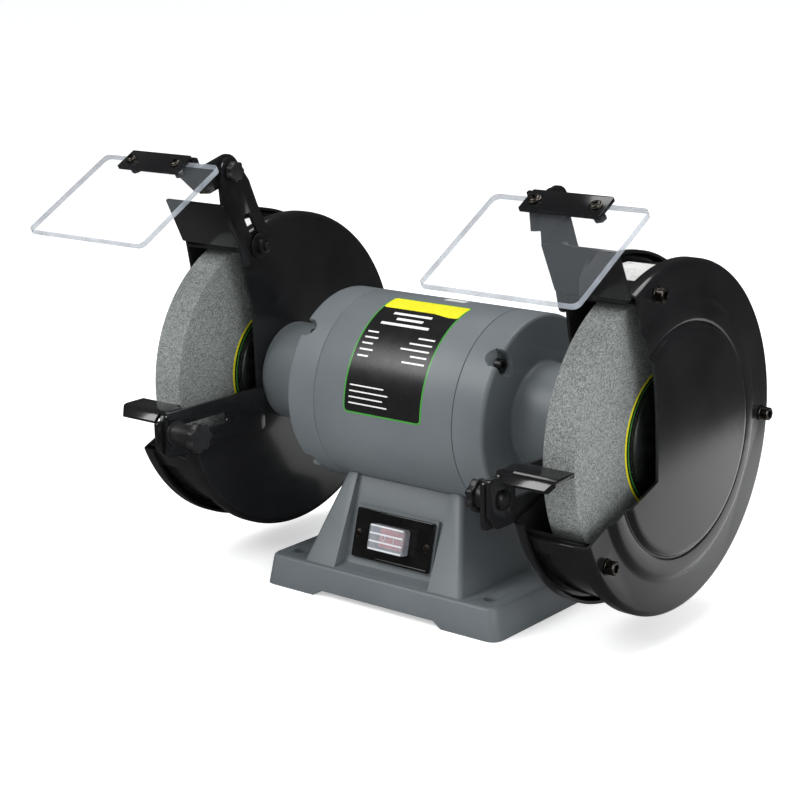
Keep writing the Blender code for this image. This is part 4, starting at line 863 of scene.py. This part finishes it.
for hand, side in SIDES.items():
    face_x = GUARD_X - GAP
    spot = (REST_Y[hand], REST_Z)
    radius = REST_BOLT + 3 * GAP
    arm_outline = [(ARM_Y[0], ARM_Z[0]), (ARM_Y[1], ARM_Z[0]), (ARM_Y[1], ARM_Z[1]), (ARM_Y[0], ARM_Z[1])]
    slot = slot_outline((ARM_SLOT_Y[0] + radius, REST_Z), (ARM_SLOT_Y[1] - radius, REST_Z), radius)
    arm = slab(softened(arm_outline, 0.0040, 6), ARM_SHEET, upright(face_x - ARM_SHEET), [slot])
    piece(f"rest_bar_{hand}", eased(arm, 0.0005, 2, 50), guard_enamel, "frame",
          [f"rest_arm_{hand}"], side)

    low, top = GUARD_X + GAP, TABLE_TOP[hand]
    rear, front = REST_Y[hand] + TABLE_REAR, REST_Y[hand] - TABLE_FRONT
    corner = [(low + 0.0120, top), *arc((low + 0.0036, top - 0.0036), 0.0036, 90, 180, 8), (low, ARM_Z[0]),
              (low + ARM_SHEET, ARM_Z[0]), *arc((low + 0.0040, top - 0.0040), 0.0010, 180, 90, 4),
              (low + 0.0120, top - ARM_SHEET)]
    edge = REST_Y[hand] - REST_HALF
    keep = softened([(edge, ARM_Z[0] + 0.0085), (edge + 0.0075, ARM_Z[0]), (edge + 2 * REST_HALF, ARM_Z[0]),
                     (edge + 2 * REST_HALF, 0.2), (front, 0.2), (front, top - 0.0050), (edge, top - 0.0050)],
                    0.0022, 5)
    flange = worked(slab(corner, 2 * REST_HALF, frontal(edge + 2 * REST_HALF)),
                    [slab(keep, 0.3, upright(0))], "INTERSECT")
    neck = slab([(rear, top), (front, top), (front, top - ARM_SHEET), (rear, top - ARM_SHEET)],
                LIP_X[0] + 0.0010 - low - 0.0110, upright(low + 0.0110))
    table_line = [(rear, top), (front, top), (front - 0.0059, top - 0.0066), (front - 0.0039, top - 0.0085),
                  (front + 0.0013, top - ARM_SHEET), (rear, top - ARM_SHEET)]
    table = slab(softened(table_line, 0.0100, 8), TABLE_OUTER - LIP_X[0], upright(LIP_X[0]))
    corner_cut = [(LIP_X[1], front - 0.0060), (LIP_X[1], -0.2), (0.2, -0.2), (0.2, front),
                  (TABLE_OUTER, front)]
    oblique = slab(corner_cut, 0.1, Matrix.Translation((0, 0, 0.09)))
    rest = worked(worked(table, [oblique]), [neck, flange], "UNION")
    rest = worked(rest, [rod(REST_BOLT + GAP, 0.13, 0.14, spot, 24)])
    piece(f"rest_table_{hand}", eased(rest, 0.0004, 2, 40), guard_enamel, f"tool_rest_{hand}",
          [f"tool_rest_{hand}"], side)

    head = GUARD_X + ARM_SHEET + 2 * GAP
    washer = GUARD_X - ARM_SHEET - 2 * GAP
    outer = washer - KNOB_LENGTH[hand]
    bolt_section = [(head + 0.0030, 0), (head + 0.0029, 0.0020), (head + 0.0024, 0.0042),
                    (head + 0.0014, 0.0058), (head + 0.0003, 0.0064), (head, 0.0062), (head, REST_BOLT),
                    (outer + 0.0043, REST_BOLT), (outer + 0.0043, 0)]
    carriage = turned(bolt_section, spot, 40, False)
    piece(f"carriage_bolt_{hand}", carriage, black_steel, f"tool_rest_{hand}",
          [f"rest_bolt_{hand}"], side)
    hub = turned([(washer, 0), (washer, 0.0085), (washer - 0.0003, 0.0088), (washer - 0.0012, 0.0088),
                  (washer - 0.0015, 0.0070), (washer - 0.0060, 0.0070), (outer + 0.0062, 0.0075),
                  (outer + 0.0045, 0.0078), (outer + 0.0045, 0)], spot, 48, False)
    knob = worked(star_knob(spot, 0.0108, outer, 0.0055), [hub], "UNION")
    knob = worked(knob, [rod(REST_BOLT + GAP, outer + 0.0040, 0.2, spot, 32)])
    piece(f"rest_star_{hand}", knob, moulded_black, f"rest_knob_{hand}",
          [f"rest_knob_{hand}"], side)


# Spark arrestors: a bent steel bracket whose slotted leg is clamped to the guard and whose wide flap stands
# close over the wheel. Each also carries the eye shield's pivot.

LEG_SHEET = 0.0030
FLAP_TOP, FLAP_FOOT = Vector((-0.0710, 0.2615)), Vector((-0.0560, 0.2305))
FLAP_OUTER = 0.1850
PIVOT, PIVOT_HOLE = (-0.0620, 0.2840), 0.0032
CLAMP_BOLT = 0.0029


def sloping(foot_point, top_point, x=0.0):
    """Puts an outline in the plane through X and the line from foot to top, with v at 0 on the foot."""
    along = (Vector(top_point) - Vector(foot_point)).normalized()
    return Matrix(((1, 0, 0, x), (0, along.x, -along.y, foot_point[0]), (0, along.y, along.x, foot_point[1]),
                   (0, 0, 0, 1)))


slide = (FLAP_TOP - FLAP_FOOT).normalized()
for hand, side in SIDES.items():
    high = GUARD_X - GAP
    low = high - LEG_SHEET
    outline = [FLAP_FOOT, FLAP_TOP, (-0.0725, 0.2760), *arc(PIVOT, 0.0095, 190, 60, 12), (-0.0447, 0.2762),
               (-0.0365, 0.2572), (-0.0235, 0.2330), (-0.0240, 0.2295), (-0.0500, 0.2155), (-0.0525, 0.2175)]
    start, end = Vector(CLAMP) - slide * 0.0005, Vector(CLAMP) + slide * 0.0230
    leg = slab(outline, LEG_SHEET, upright(low),
               [slot_outline(start, end, 0.0035), circle(PIVOT, PIVOT_HOLE, 24)])
    length = (FLAP_TOP - FLAP_FOOT).length
    flap_outline = [(low + 0.0002, 0), (FLAP_OUTER, 0), (FLAP_OUTER, length), (low + 0.0002, length)]
    flap = slab(softened(flap_outline, 0.0008, 2), LEG_SHEET - 0.0010,
                sloping(FLAP_FOOT, FLAP_TOP) @ Matrix.Translation((0, 0, -0.0010)))
    arrestor = worked(leg, [flap], "UNION")
    piece(f"arrestor_sheet_{hand}", eased(arrestor, 0.0002, 2, 40), guard_enamel, f"spark_arrestor_{hand}",
          [f"spark_arrestor_{hand}"], side)

    nut_x, head_x = low - GAP, GUARD_X + SHEET + GAP
    head_section = [(head_x + 0.0022, 0), (head_x + 0.0021, 0.0026), (head_x + 0.0012, 0.0042),
                    (head_x + 0.0002, 0.0048), (head_x, 0.0046), (head_x, CLAMP_BOLT)]
    washer_section = [(nut_x, CLAMP_BOLT), (nut_x, 0.0086), (nut_x - 0.0002, 0.0088),
                      (nut_x - 0.0012, 0.0088), (nut_x - 0.0014, 0.0086), (nut_x - 0.0014, CLAMP_BOLT)]
    end_section = [(nut_x - 0.0087, CLAMP_BOLT), (nut_x - 0.0092, CLAMP_BOLT - 0.0005), (nut_x - 0.0092, 0)]
    clamp = turned(head_section + washer_section + end_section, CLAMP, 40, False)
    clamp_nut = eased(slab(circle(CLAMP, 0.0056, 6), 0.0047, upright(nut_x - 0.0060)), 0.0003)
    piece(f"clamp_bolt_{hand}", worked(clamp, [clamp_nut], "UNION"), black_steel, "frame",
          [f"arrestor_screw_{hand}"], side)


# Eye shields: a sheet of clear acrylic with polished edges, screwed under the strip of a bent steel arm. The
# arm turns on a stud and is held by a star knob on the motor side.

ARM_THICKNESS = 0.0025
EYE_RADIUS = 0.0112
LENS_FRONT, LENS_BACK = Vector((-0.1670, 0.2510)), Vector((-0.0926, 0.2927))
LENS_X, LENS_THICKNESS = (0.1120, 0.2200), 0.0040
STRIP_X, STRIP_WIDTH, STRIP_OVERHANG = (0.1390, 0.1947), 0.0176, 0.0030
STRIP_PITCH = 0.0420
WEB_FOOT, WEB_X = Vector((-0.0810, 0.2712)), (0.1710, 0.1460)

clear_face = finish("acrylic_face", ((0.19, 0.21, 0.23), (0.23, 0.25, 0.27)), (0.03, 0.06), patch=12,
                    relief=0.000001)
clear_face.node_tree.nodes["Principled BSDF"].inputs["Alpha"].default_value = 0.12
clear_edge = finish("acrylic_edge", ((0.30, 0.33, 0.37), (0.48, 0.52, 0.57)), (0.08, 0.16), patch=60)
clear_edge.node_tree.nodes["Principled BSDF"].inputs["Alpha"].default_value = 0.75

along = (LENS_BACK - LENS_FRONT).normalized()
above = Vector((-along.y, along.x))
for hand, side in SIDES.items():
    low = GUARD_X + GAP
    high = low + ARM_THICKNESS
    strip_end = LENS_BACK + along * STRIP_OVERHANG + above * (GAP + ARM_THICKNESS / 2)
    strip_start = strip_end - along * STRIP_WIDTH
    outline = [strip_end + Vector((0.0008, -0.0010)), (-0.0866, 0.2888), (-0.0781, 0.2911),
               *arc(PIVOT, EYE_RADIUS, 105, -115, 24), (-0.0793, 0.2703), WEB_FOOT + Vector((-0.0060, 0))]
    eye = slab(outline, ARM_THICKNESS, upright(low), [circle(PIVOT, PIVOT_HOLE, 24)])
    height = (strip_end - WEB_FOOT).length
    web_outline = [(low + 0.0002, 0), (WEB_X[1], 0), (WEB_X[0], height), (low + 0.0002, height)]
    web = slab(softened(web_outline, 0.0006, 2), ARM_THICKNESS - 0.0004,
               sloping(WEB_FOOT, strip_end) @ Matrix.Translation((0, 0, -0.00105)))
    middle = sum(STRIP_X) / 2
    strip_outline = rect(STRIP_X[1] - STRIP_X[0], STRIP_WIDTH + 0.0008, 0.0012,
                         centre=(0, STRIP_WIDTH / 2 + 0.0004))
    strip = slab(strip_outline, ARM_THICKNESS, sloping(strip_start, strip_end, middle)
                 @ Matrix.Translation((0, 0, -ARM_THICKNESS / 2)))
    arm = worked(worked(eye, [web], "UNION"), [strip], "UNION")
    piece(f"shield_bracket_{hand}", eased(arm, 0.0004, 2, 40), guard_enamel, f"eye_shield_{hand}",
          [f"shield_arm_{hand}"], side)

    lens_middle = sum(LENS_X) / 2
    reach = (LENS_BACK - LENS_FRONT).length
    screw_v = reach + STRIP_OVERHANG - STRIP_WIDTH / 2
    lens_low = LENS_FRONT - above * LENS_THICKNESS
    lens_place = sloping(lens_low, lens_low + along, lens_middle)
    holes = [circle((middle - lens_middle + way * STRIP_PITCH / 2, screw_v), 0.0022, 20) for way in (-1, 1)]
    lens_outline = rect(LENS_X[1] - LENS_X[0], reach, 0.0050, 8, (0, reach / 2))
    lens_shape = eased(slab(lens_outline, LENS_THICKNESS, lens_place, holes), 0.0005, 2, 50)
    normal = Vector((0, above.x, above.y))
    for flat_face in lens_shape.faces:
        flat_face.material_index = 0 if abs(flat_face.normal.dot(normal)) > 0.98 else 1
    piece(f"lens_sheet_{hand}", lens_shape, [clear_face, clear_edge], f"eye_shield_{hand}",
          [f"shield_lens_{hand}"], side)

    for number, way in enumerate((-1, 1), 1):
        spot_x = middle + way * STRIP_PITCH / 2
        screw = cross_screw(0.0040, 0.0022)
        shank = slab(circle((0, 0), 0.0019, 20), 0.0100, Matrix.Translation((0, 0, -0.0100)))
        under = eased(slab(circle((0, 0), 0.0040, 6), 0.0028, Matrix.Translation((0, 0, -0.0098))), 0.0003)
        screw = worked(screw, [shank, under], "UNION")
        on_strip = strip_end - along * STRIP_WIDTH / 2 + above * (ARM_THICKNESS / 2 + 0.0001)
        screw.transform(sloping(on_strip, on_strip + along, spot_x)
                        @ Matrix.Rotation(radians(20 + 30 * number), 4, "Z"))
        piece(f"strip_screw_{hand}_{number}", screw, bronzed, f"eye_shield_{hand}", side=side)

    face_x = GUARD_X - LEG_SHEET - 2 * GAP
    nut_x = high + GAP
    outer = face_x - 0.0060
    stud = turned([(nut_x + 0.0036, 0), (nut_x + 0.0036, 0.0028), (nut_x, 0.0028), (nut_x, 0.0029),
                   (face_x, 0.0029), (face_x, 0.0058), (face_x - 0.0002, 0.0060), (outer + 0.0030, 0.0060),
                   (outer + 0.0030, 0)], PIVOT, 40, False)
    pivot_nut = eased(slab(circle(PIVOT, 0.0055, 6), 0.0034, upright(nut_x)), 0.0003)
    knob = worked(star_knob(PIVOT, 0.0072, outer, 0.0052), [stud, pivot_nut], "UNION")
    piece(f"pivot_star_{hand}", knob, moulded_black, f"shield_knob_{hand}",
          [f"shield_knob_{hand}"], side)


# Inner parts: wound stator and rotor, bearings, capacitor and the switch's body, which show only when the
# grinder is taken apart.

laminations = finish("laminations", ((0.20, 0.20, 0.21), (0.30, 0.30, 0.31)), (0.35, 0.55), metallic=1.0,
                     patch=400)
copper = finish("copper_wire", ((0.50, 0.16, 0.06), (0.62, 0.22, 0.09)), (0.25, 0.40), metallic=1.0,
                patch=300, grain=700, relief=0.0004)
inner_finishes = {"stator_core": laminations, "rotor_core": laminations, "winding_left": copper,
                  "winding_right": copper, "bearing_left": bright_steel, "bearing_right": bright_steel,
                  "capacitor": moulded_black, "switch_body": moulded_black}
for node, inner_finish in inner_finishes.items():
    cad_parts[node].data.materials.clear()
    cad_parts[node].data.materials.append(inner_finish)
